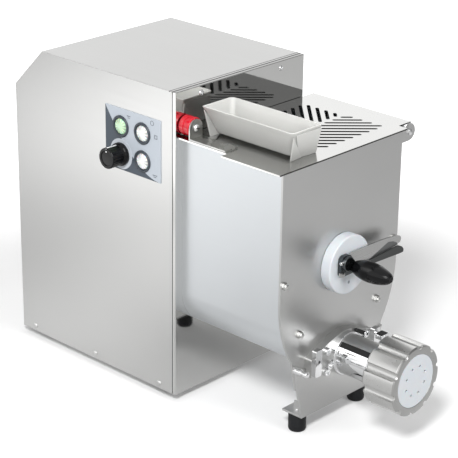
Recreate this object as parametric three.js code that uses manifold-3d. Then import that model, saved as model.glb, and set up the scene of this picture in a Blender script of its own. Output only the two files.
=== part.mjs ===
// Table-top pasta extruder: a stainless housing with the drive inside, a mixing tank in front of it
// and an extruder barrel with its die on the tank's front plate.
// Millimetres. +Z is up, -Y is the front where the pasta comes out, +X is the right seen from the front.
// While it is built, Y 0 is the cover's front edge, Z 0 its lower edge and X 0 its middle.

import * as THREE from 'three';
import { mergeVertices } from 'three/addons/utils/BufferGeometryUtils.js';
import Module from 'manifold-3d';

const wasm = await Module();
wasm.setup();

// Clearances and fineness
const seatGap = 0.3;
const overrun = 4;
const fineSegments = 36;
const roundSegments = 24;
const smallSegments = 12;
const tinySegments = 8;

// Housing
const coverWidth = 246.5;
const coverDepth = 308.5;
const coverHeight = 430;
const coverSheet = 2;
const chamferRun = 58;
const rearLipHeight = 12;
const frontFlangeHeight = 22;
const panelProud = 6;
const panelSheet = 2;
const baseLift = 1;
const baseSheet = 3;
const baseFlangeHeight = 17;
const footRadius = 12;
const footTaper = 1;
const footDrop = 11;
const footInset = 30;
const screwHeadRadius = 4;
const screwHeadHeight = 1.8;
const screwShankRadius = 2;
const screwShankLength = 8;
const screwHoleRadius = 2.3;
const coverScrewHeight = 7.5;
const coverScrewInset = 26;
const panelScrewDrop = 10;
const panelScrewSpread = 153;

// Rear panel and mains inlet
const louvreCount = 7;
const louvreLength = 130;
const louvreHeight = 5;
const louvrePitch = 15;
const louvreLowest = 200;
const rearReturnDepth = 12;
const glandHeight = 60;
const glandOffset = 80;
const glandHoleRadius = 8.5;
const glandBodyRadius = 8;
const glandBore = 4;
const glandNutRadius = 12;
const glandNutLength = 7;
const glandDomeRadius = 9;
const glandDomeLength = 12;

// Control panel on the left side
const fasciaWidth = 104;
const fasciaHeight = 85.5;
const fasciaSheet = 1;
const fasciaSetback = 72.3;
const fasciaDrop = 86.7;
const rearColumn = 22.3;
const frontColumn = -18.4;
const upperRow = 18;
const lowerRow = -20.5;
const bezelRadius = 15;
const bezelProud = 2.2;
const bezelChamfer = 1;
const bezelBarrelRadius = 13;
const bezelBarrelLength = 20;
const lensRadius = 11;
const lensProud = 0.3;
const lensDome = 0.6;
const buttonTravel = 4;
const stemRadius = 8.2;
const contactSide = 25;
const contactDepth = 22;
const knobBaseRadius = 16.3;
const knobEndRadius = 14.4;
const knobLength = 27;
const knobRound = 1.5;
const knobWall = 5;
const knobMarkWidth = 2.4;
const knobMarkDepth = 0.8;
const spindleRadius = 3;
const switchSide = 44;
const switchDepth = 40;
const switchBoreDepth = 14;

// Drive
const augerHeight = 89.6;
const mixerHeight = 215.6;
const gearModule = 4;
const augerTeeth = 36;
const gearWidth = 22;
const gearSetback = 12;
const toothTipShare = 0.12;
const toothRootShare = 0.28;
const addendumShare = 0.9;
const dedendumShare = 1.25;
const shaftRadius = 9;
const shaftReach = 8;
const tongueLength = 9;
const tongueWidth = 6;
const caseWall = 6;
const caseGearRoom = 3;
const caseFrontWall = 8;
const caseDepth = 46;
const caseCoverWall = 7;
const bearingRadius = 14;
const reducerSide = 108;
const reducerDepth = 58;
const reducerBoreDepth = 22;
const motorRadius = 50;
const motorFinHeight = 5;
const motorFinCount = 24;
const motorFinShare = 0.36;
const motorLength = 112;
const motorShaftRadius = 6;
const motorShaftLength = 26;
const fanHubRadius = 14;
const fanRadius = 42;
const fanWidth = 12;
const fanBladeCount = 7;
const fanBladeSheet = 3;
const fanStandOff = 8;
const fanCoverRadius = 54;
const fanCoverSheet = 2;
const fanCoverLength = 36;
const fanSlotCount = 5;
const fanSlotHeight = 6;
const fanSlotPitch = 13;
const cradleWidth = 80;
const cradleLength = 46;
const cradleSetback = 42;
const controlPlateSheet = 2;
const controlPlateWidth = 190;
const controlPlateHeight = 236;
const controlPlateInset = 16;
const controlPlateFoot = 14;
const contactorWidth = 45;
const contactorHeight = 74;
const contactorDepth = 46;
const contactorOffset = -45;
const contactorLift = 152;
const contactorRib = 8;
const contactorRibCount = 3;
const sensorRadius = 9;
const sensorLength = 16;

// Mixing tank
const tankHalfWidth = 110.4;
const tankSheet = 2;
const tankLength = 176;
const tankTop = 367.6;
const tankCornerRadius = 60;
const tankCornerHeight = 152;
const channelRadius = 27;
const plateSheet = 3;
const plateHalfWidth = 117;
const plateTop = 366.5;
const plateCurveHeight = 189;
const plateCurveRadius = 165;
const plateKneeHeight = 100;
const legBottom = 17;
const legHalfWidth = 72;
const legOverlap = 40;
const legSheet = 3;
const legTopOuter = 96.5;
const legTopInner = 79;
const legTopInnerHalf = 56;
const legFlangeDepth = 31;
const frontFootSpread = 121;
const frontFootInset = 17;
const paddleOpeningRadius = 36;
const nutCircleRadius = 110.3;
const nutRadius = 5.2;
const nutHeight = 7;
const nutSideCount = 6;

// Lid, hinge and safety magnet
const lidSheet = 2;
const lidTop = 370;
const lidLeft = 130.5;
const lidRight = 144.6;
const lidFront = 191.2;
const lidRear = 7;
const lidStepLeft = 120;
const lidStepBack = 93;
const lidNotchLeft = 118.8;
const lidNotchBack = 176.5;
const slotWidth = 5;
const slotsLeft = -30;
const slotsRear = -32;
const slotsFront = -163;
const slotsRearPitch = 11;
const slotsRearLow = -93;
const slotsRearRight = 97;
const slotsRearFirst = 182.5;
const slotsFrontPitch = 11.6;
const slotsFrontHigh = -102;
const slotsFrontRight = 101;
const slotsFrontFirst = -9.5;
const slotShortest = 6;
const hingeOffset = 131.4;
const hingeHeight = 360.6;
const hingeEarRadius = 12;
const rearEarRadius = 7;
const hingeRodRadius = 4;
const hingeRodHead = 5;
const hingeTubeRadius = 7;
const hingeTubeInset = 10;
const magnetRadius = 13;
const magnetRise = 15;
const magnetLength = 17;
const magnetOffset = 107;
const magnetGroove = 1.2;
const bracketSheet = 2;
const bracketWidth = 23;
const bracketFoot = 62;
const bracketScrewRadius = 4;

// Feeding tray on the lid
const trayWidth = 58;
const trayLength = 152;
const trayHeight = 40;
const trayWall = 2;
const trayTaper = 8;
const trayLip = 2.5;
const trayLift = 5;
const trayOffset = 65;
const traySetback = 23;
const trayFinSheet = 2.4;

// Mixing paddle and its front bearing
const paddleShaftRadius = 10;
const paddleRoom = 6;
const paddleWallRoom = 10.4;
const paddleArmRadius = 5;
const paddleArmPitch = 34;
const paddleArmCount = 5;
const paddleBladeWidth = 22;
const paddleBladeSheet = 4;
const paddleBladeHeight = 16;
const paddlePinRadius = 8;
const discRadius = 41;
const discThick = 15;
const discRound = 3;
const discHoleRadius = 2;
const discHoleDrop = 24;
const discHoleAside = -1;
const hubLeft = 25;
const hubRight = 10;
const hubRise = 19;
const hubDrop = 9;
const hubThick = 6;
const hubCorner = 3;
const leverLength = 92;
const leverRootHeight = 26;
const leverEndHeight = 24;
const leverSheet = 1.8;
const leverFold = 9;
const leverNotchLow = 64;
const leverNotchHigh = 18;
const leverSlope = Math.PI / 70;
const leverStandOff = 0.7;
const leverOffset = 7;
const gripLength = 64;
const gripRadius = 13.4;
const gripNeckRadius = 6;
const gripEndRadius = 7.5;
const gripSpindleRadius = 4;
const gripRings = 9;
const gripBoreShare = 0.8;

// Extruder
const augerRadius = 22;
const augerCoreRadius = 8.6;
const augerPitch = 38;
const augerFlight = 4;
const augerTurnSteps = 10;
const augerRearRoom = 6;
const barrelBore = 23;
const barrelRadius = 27;
const barrelFlangeThick = 12;
const barrelFlangeHalf = 66;
const barrelEarRise = 10;
const barrelEarDrop = 15;
const barrelCrownRise = 32;
const barrelCrownSteps = 5;
const barrelCrownShare = 1.45;
const barrelSoleHalf = 30;
const barrelSoleDrop = 28;
const collarRadius = 30;
const collarThick = 8;
const collarRound = 2;
const barrelNeckLength = 58;
const barrelHeadRadius = 41;
const barrelHeadLength = 40;
const clampWidth = 15;
const clampHeight = 40;
const clampRise = 7;
const clampThick = 7;
const clampChamfer = 2;
const clampBoltRadius = 5;
const clampBoltHead = 5;
const flangeBoltRadius = 5;
const flangeBoltHead = 5;
const flangeBoltSpread = 82;
const flangeBoltRise = 12;
const nutBodyRadius = 48;
const nutBodyLength = 50;
const nutLip = 4;
const nutChamfer = 2;
const nutLobes = 12;
const nutGrooveRadius = 5.5;
const nutGrooveDepth = 4;
const nutGrooveStop = 9;
const nutScallopDepth = 1.4;
const dieRadius = 40.7;
const dieFaceRadius = 36.4;
const dieThick = 8;
const dieHoleCount = 8;
const dieHoleRadius = 1.6;
const dieHoleCircle = 20;

// Worked out from the sizes above
const fasciaMiddle = coverHeight - fasciaDrop;
const panelFront = -panelProud;
const panelBack = panelFront + panelSheet;
const mixerTeeth = Math.round((2 * (mixerHeight - augerHeight)) / gearModule) - augerTeeth;
const augerGearRadius = (gearModule * augerTeeth) / 2;
const mixerGearRadius = (gearModule * mixerTeeth) / 2;
const baseTop = baseLift + baseSheet;
const baseHalfWidth = coverWidth / 2 - coverSheet - seatGap;
const caseBack = panelBack + caseDepth;
const caseCoverBack = caseBack + caseCoverWall;
const reducerBack = caseCoverBack + reducerDepth;
const motorBack = reducerBack + seatGap + motorLength;
const tankBack = panelFront;
const tankFront = tankBack - tankLength;
const plateFront = tankFront - plateSheet;
const legFront = plateFront - legSheet;
const shaftFront = tankBack - tankSheet - shaftReach;
const discFront = plateFront - seatGap - discThick;
const hubFront = discFront - seatGap - hubThick;
const gripRear = hubFront - seatGap;
const paddleReach = Math.min(
  tankHalfWidth - tankSheet - paddleWallRoom,
  mixerHeight - augerHeight - augerRadius - paddleRoom,
);
const barrelFlangeFront = plateFront - barrelFlangeThick;
const collarFront = barrelFlangeFront - collarThick;
const headRear = collarFront - barrelNeckLength;
const headFront = headRear - barrelHeadLength;
const dieRear = headFront - seatGap;
const dieShoulder = dieRear - dieThick;
const noseFront = dieShoulder - seatGap - nutLip;
const lidUnder = lidTop - lidSheet;
const bezelBore = lensRadius + seatGap;
const floorLevel = -footDrop;

// Finishes
const finishes = {
  brushedSteel: { color: 0xc9cbc9, roughness: 0.35, metalness: 0.9 },
  mirrorSteel: { color: 0xd4d5d3, roughness: 0.08, metalness: 1 },
  satinSteel: { color: 0xb4b5b3, roughness: 0.42, metalness: 0.9 },
  chrome: { color: 0xe2e3e4, roughness: 0.05, metalness: 1 },
  darkSteel: { color: 0x4a4c4f, roughness: 0.35, metalness: 0.9 },
  castAluminium: { color: 0x9c9fa1, roughness: 0.55, metalness: 0.8 },
  motorPaint: { color: 0x5a6a78, roughness: 0.5, metalness: 0.2 },
  bronze: { color: 0xb08d57, roughness: 0.4, metalness: 0.9 },
  blackRubber: { color: 0x1b1c1e, roughness: 0.8, metalness: 0 },
  blackPlastic: { color: 0x101012, roughness: 0.2, metalness: 0 },
  slatePlastic: { color: 0x3b424c, roughness: 0.4, metalness: 0 },
  greyPlastic: { color: 0x8d9196, roughness: 0.5, metalness: 0 },
  fasciaFilm: { color: 0xb8becc, roughness: 0.4, metalness: 0 },
  greenLens: { color: 0xcde6c8, roughness: 0.25, metalness: 0 },
  whiteLens: { color: 0xf2f3f3, roughness: 0.25, metalness: 0 },
  redPlastic: { color: 0xdc1428, roughness: 0.15, metalness: 0 },
  trayPlastic: { color: 0xdededb, roughness: 0.45, metalness: 0 },
  whitePlastic: { color: 0xcdd2d8, roughness: 0.35, metalness: 0 },
};

function finish(name) {
  return new THREE.MeshStandardMaterial(finishes[name]);
}

// Solids: a closed geometry becomes a body that can be joined and cut
function signedVolume(positions, order) {
  let sum = 0;
  const a = new THREE.Vector3();
  const b = new THREE.Vector3();
  const c = new THREE.Vector3();
  for (let i = 0; i < order.length; i += 3) {
    a.fromArray(positions, order[i] * 3);
    b.fromArray(positions, order[i + 1] * 3);
    c.fromArray(positions, order[i + 2] * 3);
    sum += a.dot(b.cross(c));
  }
  return sum;
}

function solid(geometry) {
  const bare = geometry.clone();
  bare.deleteAttribute('normal');
  bare.deleteAttribute('uv');
  const merged = mergeVertices(bare);
  const vertProperties = new Float32Array(merged.attributes.position.array);
  const triVerts = new Uint32Array(merged.index.array);
  if (signedVolume(vertProperties, triVerts) < 0) triVerts.reverse();
  return new wasm.Manifold(new wasm.Mesh({ numProp: 3, vertProperties, triVerts }));
}

function geometryOf(body) {
  const mesh = body.getMesh();
  const geometry = new THREE.BufferGeometry();
  geometry.setAttribute('position', new THREE.BufferAttribute(mesh.vertProperties, 3));
  geometry.setIndex(new THREE.BufferAttribute(mesh.triVerts, 1));
  const faceted = geometry.toNonIndexed();
  faceted.computeVertexNormals();
  return faceted;
}

function joined(...bodies) {
  return bodies.reduce((sum, body) => sum.add(body));
}

function cut(body, ...tools) {
  return tools.reduce((rest, tool) => rest.subtract(tool), body);
}

function outline(points) {
  return new THREE.Shape(points.map(([u, v]) => new THREE.Vector2(u, v)));
}

// An outline in X and Z, carried along Y
function alongY(points, from, to) {
  const geometry = new THREE.ExtrudeGeometry(outline(points), { depth: to - from, bevelEnabled: false });
  geometry.rotateX(Math.PI / 2);
  geometry.translate(0, to, 0);
  return solid(geometry);
}

// An outline in Y and Z, carried along X
function alongX(points, from, to) {
  const geometry = new THREE.ExtrudeGeometry(outline(points), { depth: to - from, bevelEnabled: false });
  geometry.rotateX(Math.PI / 2);
  geometry.rotateZ(Math.PI / 2);
  geometry.translate(from, 0, 0);
  return solid(geometry);
}

// An outline in X and Y, carried along Z
function alongZ(points, from, to) {
  const geometry = new THREE.ExtrudeGeometry(outline(points), { depth: to - from, bevelEnabled: false });
  geometry.translate(0, 0, from);
  return solid(geometry);
}

function block(x0, x1, y0, y1, z0, z1) {
  const geometry = new THREE.BoxGeometry(x1 - x0, y1 - y0, z1 - z0);
  geometry.translate((x0 + x1) / 2, (y0 + y1) / 2, (z0 + z1) / 2);
  return solid(geometry);
}

// A profile of [radius, distance] turned round an axis through [u, v]
function turnedY(profile, segments, x = 0, z = 0) {
  const points = profile.map(([radius, along]) => new THREE.Vector2(radius, along));
  const geometry = new THREE.LatheGeometry(points, segments);
  geometry.translate(x, 0, z);
  return solid(geometry);
}

function turnedX(profile, segments, y = 0, z = 0) {
  const points = profile.map(([radius, along]) => new THREE.Vector2(radius, along));
  const geometry = new THREE.LatheGeometry(points, segments);
  geometry.rotateZ(-Math.PI / 2);
  geometry.translate(0, y, z);
  return solid(geometry);
}

function turnedZ(profile, segments, x = 0, y = 0) {
  const points = profile.map(([radius, along]) => new THREE.Vector2(radius, along));
  const geometry = new THREE.LatheGeometry(points, segments);
  geometry.rotateX(Math.PI / 2);
  geometry.translate(x, y, 0);
  return solid(geometry);
}

function rodProfile(radius, from, to) {
  return [[0, from], [radius, from], [radius, to], [0, to]];
}

function ringProfile(outer, inner, from, to) {
  return [[inner, from], [outer, from], [outer, to], [inner, to], [inner, from]];
}

function rodY(radius, from, to, segments, x = 0, z = 0) {
  return turnedY(rodProfile(radius, from, to), segments, x, z);
}

function rodX(radius, from, to, segments, y = 0, z = 0) {
  return turnedX(rodProfile(radius, from, to), segments, y, z);
}

function rodZ(radius, from, to, segments, x = 0, y = 0) {
  return turnedZ(rodProfile(radius, from, to), segments, x, y);
}

function ringY(outer, inner, from, to, segments, x = 0, z = 0) {
  return turnedY(ringProfile(outer, inner, from, to), segments, x, z);
}

function arcPoints(cx, cz, radius, startAngle, endAngle, steps) {
  const points = [];
  for (let i = 0; i <= steps; i += 1) {
    const angle = startAngle + ((endAngle - startAngle) * i) / steps;
    points.push([cx + radius * Math.cos(angle), cz + radius * Math.sin(angle)]);
  }
  return points;
}

function mirrored(points) {
  return points.map(([x, z]) => [-x, z]).reverse();
}

function addPiece(group, name, body, finishName) {
  const mesh = new THREE.Mesh(geometryOf(body), finish(finishName));
  mesh.name = name;
  group.add(mesh);
  return mesh;
}

const machine = new THREE.Group();

// Housing: cover, front and rear panels, base, feet and screws
function coverScrewPlaces() {
  const rows = [coverScrewInset, coverDepth / 2, coverDepth - coverScrewInset];
  return rows.flatMap((y) => [[-1, y], [1, y]]);
}

function controlPlaces() {
  return {
    start: [rearColumn, upperRow],
    stop: [frontColumn, upperRow],
    mode: [frontColumn, lowerRow],
    selector: [rearColumn, lowerRow],
  };
}

function coverShell() {
  const half = coverWidth / 2;
  const rearTop = coverHeight - chamferRun;
  const bite = coverSheet * (Math.SQRT2 - 1);
  const outer = [
    [0, 0],
    [coverDepth, 0],
    [coverDepth, rearTop],
    [coverDepth - chamferRun, coverHeight],
    [0, coverHeight],
  ];
  const inner = [
    [-overrun, -overrun],
    [coverDepth + overrun, -overrun],
    [coverDepth + overrun, rearTop - rearLipHeight],
    [coverDepth - coverSheet, rearTop - rearLipHeight],
    [coverDepth - coverSheet, rearTop - bite],
    [coverDepth - chamferRun - bite, coverHeight - coverSheet],
    [-overrun, coverHeight - coverSheet],
  ];
  const shell = cut(alongX(outer, -half, half), alongX(inner, coverSheet - half, half - coverSheet));
  const flange = block(-half, half, 0, coverSheet, coverHeight - frontFlangeHeight, coverHeight);
  const holes = [];
  for (const [key, [y, z]] of Object.entries(controlPlaces())) {
    const radius = key === 'selector' ? spindleRadius + seatGap : bezelBarrelRadius + seatGap;
    const place = [fasciaSetback + y, fasciaMiddle + z];
    holes.push(rodX(radius, -half - overrun, coverSheet + overrun - half, roundSegments, ...place));
  }
  for (const side of [-1, 1]) {
    const x = (side * panelScrewSpread) / 2;
    const z = coverHeight - panelScrewDrop;
    holes.push(rodY(screwHoleRadius, -overrun, coverSheet + overrun, tinySegments, x, z));
  }
  const heads = coverScrewPlaces().map(([side, y]) => {
    const profile = screwHeadProfile(coverSheet / 2).map(([radius, along]) => [radius, side * (half + along)]);
    return turnedX(profile, smallSegments, y, coverScrewHeight);
  });
  return cut(joined(shell, flange, ...heads), ...holes);
}

function frontPanel() {
  const half = coverWidth / 2;
  const inner = half - panelSheet;
  const tray = block(-half, half, panelFront, 0, 0, coverHeight);
  const pocket = block(-inner, inner, panelBack, overrun, panelSheet, coverHeight - panelSheet);
  const through = [panelFront - overrun, overrun];
  const holes = [
    rodY(bearingRadius + seatGap, ...through, roundSegments, 0, augerHeight),
    rodY(bearingRadius + seatGap, ...through, roundSegments, 0, mixerHeight),
  ];
  for (const side of [-1, 1]) {
    const x = (side * panelScrewSpread) / 2;
    holes.push(rodY(screwHoleRadius, ...through, tinySegments, x, coverHeight - panelScrewDrop));
  }
  return cut(tray, pocket, ...holes);
}

function rearPanel() {
  const half = baseHalfWidth;
  const top = coverHeight - chamferRun - rearLipHeight - seatGap;
  const bottom = baseTop + seatGap;
  const front = coverDepth - coverSheet;
  const sheet = block(-half, half, front, coverDepth, bottom, top);
  const returnFront = coverDepth - rearReturnDepth;
  const left = block(-half, coverSheet - half, returnFront, coverDepth, baseFlangeHeight + overrun, top);
  const right = block(half - coverSheet, half, returnFront, coverDepth, baseFlangeHeight + overrun, top);
  const cuts = [];
  for (let i = 0; i < louvreCount; i += 1) {
    const z = louvreLowest + i * louvrePitch;
    const reach = [front - overrun, coverDepth + overrun];
    cuts.push(block(-louvreLength / 2, louvreLength / 2, ...reach, z, z + louvreHeight));
  }
  const gland = [front - overrun, coverDepth + overrun, roundSegments, glandOffset, glandHeight];
  cuts.push(rodY(glandHoleRadius, ...gland));
  return cut(joined(sheet, left, right), ...cuts);
}

function basePlate() {
  const half = baseHalfWidth;
  const back = coverDepth - coverSheet - seatGap;
  const floor = block(-half, half, seatGap, back, baseLift, baseTop);
  const left = block(-half, coverSheet - half, seatGap, back, baseLift, baseFlangeHeight);
  const right = block(half - coverSheet, half, seatGap, back, baseLift, baseFlangeHeight);
  const cradleHalf = cradleWidth / 2;
  const front = reducerBack + cradleSetback;
  const reach = [front, front + cradleLength];
  const saddle = block(-cradleHalf, cradleHalf, ...reach, baseLift, augerHeight - motorRadius / 2);
  const seatReach = [front - overrun, front + cradleLength + overrun];
  const seat = rodY(motorRadius + seatGap, ...seatReach, fineSegments, 0, augerHeight);
  return joined(floor, left, right, cut(saddle, seat));
}

function footBody(x, y, top) {
  const profile = [
    [0, floorLevel],
    [footRadius - footTaper, floorLevel],
    [footRadius, floorLevel + footDrop / 2],
    [footRadius, top],
    [0, top],
  ];
  return turnedZ(profile, roundSegments, x, y);
}

function screwHeadProfile(sunk) {
  return [
    [0, -sunk],
    [screwHeadRadius, -sunk],
    [screwHeadRadius, screwHeadHeight / 2],
    [screwHeadRadius / 2, screwHeadHeight],
    [0, screwHeadHeight],
  ];
}

function panelScrew() {
  const head = screwHeadProfile(0).map(([radius, along]) => [radius, -along]);
  const shank = rodY(screwShankRadius, -overrun / 4, screwShankLength, tinySegments);
  return joined(turnedY(head, smallSegments), shank);
}

function cableGland() {
  const front = coverDepth - coverSheet;
  const nut = ringY(glandNutRadius, glandBore, front - glandNutLength, front, nutSideCount);
  const body = ringY(glandBodyRadius, glandBore, front - overrun, coverDepth + overrun, roundSegments);
  const collar = ringY(glandNutRadius, glandBore, coverDepth, coverDepth + glandNutLength, nutSideCount);
  const domeBase = coverDepth + glandNutLength;
  const dome = turnedY(
    [
      [glandBore, domeBase - overrun],
      [glandDomeRadius, domeBase - overrun],
      [glandDomeRadius, domeBase + glandDomeLength / 2],
      [glandBodyRadius - glandBore / 2, domeBase + glandDomeLength],
      [glandBore, domeBase + glandDomeLength],
      [glandBore, domeBase - overrun],
    ],
    roundSegments,
  );
  return joined(nut, body, collar, dome);
}

function addHousing(parent) {
  const housing = new THREE.Group();
  addPiece(housing, 'cover_shell', coverShell(), 'brushedSteel');
  addPiece(housing, 'front_panel', frontPanel(), 'mirrorSteel');
  addPiece(housing, 'rear_panel', rearPanel(), 'brushedSteel');
  addPiece(housing, 'base_plate', basePlate(), 'satinSteel');
  const footX = coverWidth / 2 - footInset;
  for (const [end, y] of [['front', footInset], ['rear', coverDepth - footInset]]) {
    addPiece(housing, `housing_foot_${end}_left`, footBody(-footX, y, baseLift), 'blackRubber');
    addPiece(housing, `housing_foot_${end}_right`, footBody(footX, y, baseLift), 'blackRubber');
  }
  for (const [side, x] of [['left', -panelScrewSpread / 2], ['right', panelScrewSpread / 2]]) {
    const screw = addPiece(housing, `panel_screw_${side}`, panelScrew(), 'chrome');
    screw.position.set(x, panelFront, coverHeight - panelScrewDrop);
  }
  const gland = addPiece(housing, 'cable_gland', cableGland(), 'blackPlastic');
  gland.position.set(glandOffset, 0, glandHeight);
  parent.add(housing);
}

// Controls: fascia, three push buttons with bezels and contact blocks, and the selector
function fasciaPlate() {
  const halfWidth = fasciaWidth / 2;
  const halfHeight = fasciaHeight / 2;
  const sheet = block(-fasciaSheet, 0, -halfWidth, halfWidth, -halfHeight, halfHeight);
  const holes = Object.entries(controlPlaces()).map(([key, [y, z]]) => {
    const radius = key === 'selector' ? spindleRadius + seatGap : bezelBarrelRadius + seatGap;
    return rodX(radius, -fasciaSheet - overrun, overrun, roundSegments, y, z);
  });
  return cut(sheet, ...holes);
}

function bezelBody() {
  const front = -fasciaSheet - bezelProud;
  const step = bezelBarrelLength / 4;
  const narrow = stemRadius + seatGap;
  const profile = [
    [bezelBore, front],
    [bezelRadius - bezelChamfer, front],
    [bezelRadius, front + bezelChamfer],
    [bezelRadius, -fasciaSheet],
    [bezelBarrelRadius, -fasciaSheet],
    [bezelBarrelRadius, bezelBarrelLength],
    [narrow, bezelBarrelLength],
    [narrow, step],
    [bezelBore, step],
    [bezelBore, front],
  ];
  return turnedX(profile, roundSegments);
}

function buttonBody() {
  const front = -fasciaSheet - bezelProud - lensProud;
  const back = bezelBarrelLength / 4 - buttonTravel - seatGap;
  const stemEnd = bezelBarrelLength - buttonTravel - seatGap;
  const profile = [
    [0, front],
    [lensRadius - 2 * lensDome, front],
    [lensRadius, front + lensDome],
    [lensRadius, back],
    [stemRadius, back],
    [stemRadius, stemEnd],
    [0, stemEnd],
  ];
  return turnedX(profile, roundSegments);
}

function contactCarrier() {
  const half = contactSide / 2;
  const back = bezelBarrelLength + contactDepth;
  const rail = back - contactDepth / 4;
  const places = controlPlaces();
  const cells = [places.start, places.stop, places.mode].map(([y, z]) => {
    return block(bezelBarrelLength, back, y - half, y + half, z - half, z + half);
  });
  const along = block(rail, back, frontColumn, rearColumn, upperRow - half / 2, upperRow + half / 2);
  const down = block(rail, back, frontColumn - half / 2, frontColumn + half / 2, lowerRow, upperRow);
  return joined(...cells, along, down);
}

function knobBody() {
  const back = -fasciaSheet - seatGap;
  const front = back - knobLength;
  const profile = [
    [0, front],
    [knobEndRadius - knobRound, front],
    [knobEndRadius, front + knobRound],
    [knobBaseRadius, back],
    [0, back],
  ];
  const spindle = rodX(spindleRadius, back - knobWall, coverSheet + switchBoreDepth - seatGap, smallSegments);
  const mark = block(
    front - overrun,
    front + knobMarkDepth,
    -knobMarkWidth / 2,
    knobMarkWidth / 2,
    0,
    knobEndRadius + overrun,
  );
  return joined(cut(turnedX(profile, fineSegments), mark), spindle);
}

function selectorSwitch() {
  const half = switchSide / 2;
  const body = block(coverSheet, coverSheet + switchDepth, -half, half, -half, half);
  const bore = rodX(spindleRadius + seatGap, -overrun, coverSheet + switchBoreDepth, smallSegments);
  return cut(body, bore);
}

function addControls(parent) {
  const controls = new THREE.Group();
  controls.position.set(-coverWidth / 2, fasciaSetback, fasciaMiddle);
  addPiece(controls, 'control_fascia', fasciaPlate(), 'fasciaFilm');
  addPiece(controls, 'contact_carrier', contactCarrier(), 'greyPlastic');
  const lenses = { start: 'greenLens', stop: 'whiteLens', mode: 'whiteLens' };
  const places = controlPlaces();
  for (const [key, lens] of Object.entries(lenses)) {
    const [y, z] = places[key];
    const bezel = addPiece(controls, `${key}_bezel`, bezelBody(), 'slatePlastic');
    bezel.position.set(0, y, z);
    const button = addPiece(controls, `${key}_button`, buttonBody(), lens);
    button.position.set(0, y, z);
  }
  const selector = new THREE.Group();
  selector.position.set(0, ...places.selector);
  addPiece(selector, 'selector_knob', knobBody(), 'blackPlastic');
  addPiece(selector, 'selector_switch', selectorSwitch(), 'greyPlastic');
  controls.add(selector);
  parent.add(controls);
}

// Drive: a geared motor turns the auger, and a gear pair turns the mixing shaft from it
function gearOutline(teeth, phase) {
  const pitchRadius = (gearModule * teeth) / 2;
  const tip = pitchRadius + gearModule * addendumShare;
  const root = pitchRadius - gearModule * dedendumShare;
  const pitch = (2 * Math.PI) / teeth;
  const points = [];
  for (let i = 0; i < teeth; i += 1) {
    const middle = phase + i * pitch;
    const corners = [
      [root, -toothRootShare],
      [tip, -toothTipShare],
      [tip, toothTipShare],
      [root, toothRootShare],
    ];
    for (const [radius, share] of corners) {
      const angle = middle + share * pitch;
      points.push([radius * Math.cos(angle), radius * Math.sin(angle)]);
    }
  }
  return points;
}

function gearBody(teeth, phase) {
  return alongY(gearOutline(teeth, phase), gearSetback, gearSetback + gearWidth);
}

// The outline round two circles, one above the other
function roundedPair(lowRadius, highRadius, steps) {
  const lean = Math.asin((lowRadius - highRadius) / (mixerHeight - augerHeight));
  const high = arcPoints(0, mixerHeight, highRadius, lean, Math.PI - lean, steps);
  const low = arcPoints(0, augerHeight, lowRadius, Math.PI - lean, 2 * Math.PI + lean, steps);
  return [...high, ...low];
}

function gearboxRadii(extra) {
  const room = caseGearRoom + gearModule + extra;
  return [augerGearRadius + room, mixerGearRadius + room];
}

function gearboxCase() {
  const outer = alongY(roundedPair(...gearboxRadii(caseWall), smallSegments), panelBack, caseBack);
  const cavityFront = panelBack + caseFrontWall;
  const cavity = alongY(roundedPair(...gearboxRadii(0), smallSegments), cavityFront, caseBack + overrun);
  const seats = [augerHeight, mixerHeight].map((z) => {
    const reach = [panelBack - overrun, cavityFront + overrun];
    return rodY(bearingRadius + seatGap, ...reach, roundSegments, 0, z);
  });
  return cut(outer, cavity, ...seats);
}

function reducerCase() {
  const plate = alongY(roundedPair(...gearboxRadii(caseWall), smallSegments), caseBack, caseCoverBack);
  const half = reducerSide / 2;
  const corner = half / 4;
  const side = [
    [half, corner - half],
    [half, half - corner],
    [half - corner, half],
  ];
  const lower = [[half - corner, -half]];
  const points = raised([...lower, ...side, ...mirrored(side), ...mirrored(lower)], augerHeight);
  const body = alongY(points, caseCoverBack - overrun, reducerBack);
  const reach = [caseBack - overrun, caseCoverBack + reducerBoreDepth];
  const augerSeat = rodY(shaftRadius + seatGap, ...reach, roundSegments, 0, augerHeight);
  const mixerSeat = rodY(shaftRadius + seatGap, ...reach, roundSegments, 0, mixerHeight);
  return cut(joined(plate, body), augerSeat, mixerSeat);
}

function shaftBearing() {
  const reach = [panelFront, panelBack + caseFrontWall];
  return ringY(bearingRadius, shaftRadius + seatGap, ...reach, roundSegments);
}

function driveShaft(back) {
  const rod = rodY(shaftRadius, shaftFront, back, roundSegments);
  const half = tongueWidth / 2;
  const side = shaftRadius / 2;
  const tongue = block(-half, half, shaftFront - tongueLength, shaftFront + overrun, -side, side);
  return joined(rod, tongue);
}

function tongueSlot() {
  const half = tongueWidth / 2 + seatGap;
  const side = shaftRadius / 2 + seatGap;
  return block(-half, half, shaftFront - tongueLength - seatGap, shaftFront, -side, side);
}

function motorOutline() {
  const pitch = (2 * Math.PI) / motorFinCount;
  const points = [];
  for (let i = 0; i < motorFinCount; i += 1) {
    const corners = [
      [motorRadius - motorFinHeight, -0.5],
      [motorRadius - motorFinHeight, -motorFinShare],
      [motorRadius, -motorFinShare / 2],
      [motorRadius, motorFinShare / 2],
      [motorRadius - motorFinHeight, motorFinShare],
    ];
    for (const [radius, share] of corners) {
      const angle = (i + share) * pitch;
      points.push([radius * Math.cos(angle), radius * Math.sin(angle)]);
    }
  }
  return points;
}

function motorBody() {
  const front = reducerBack + seatGap;
  const body = alongY(motorOutline(), front, motorBack);
  const bore = [motorBack - motorShaftLength, motorBack + overrun];
  return cut(body, rodY(motorShaftRadius + seatGap, ...bore, smallSegments));
}

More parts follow.
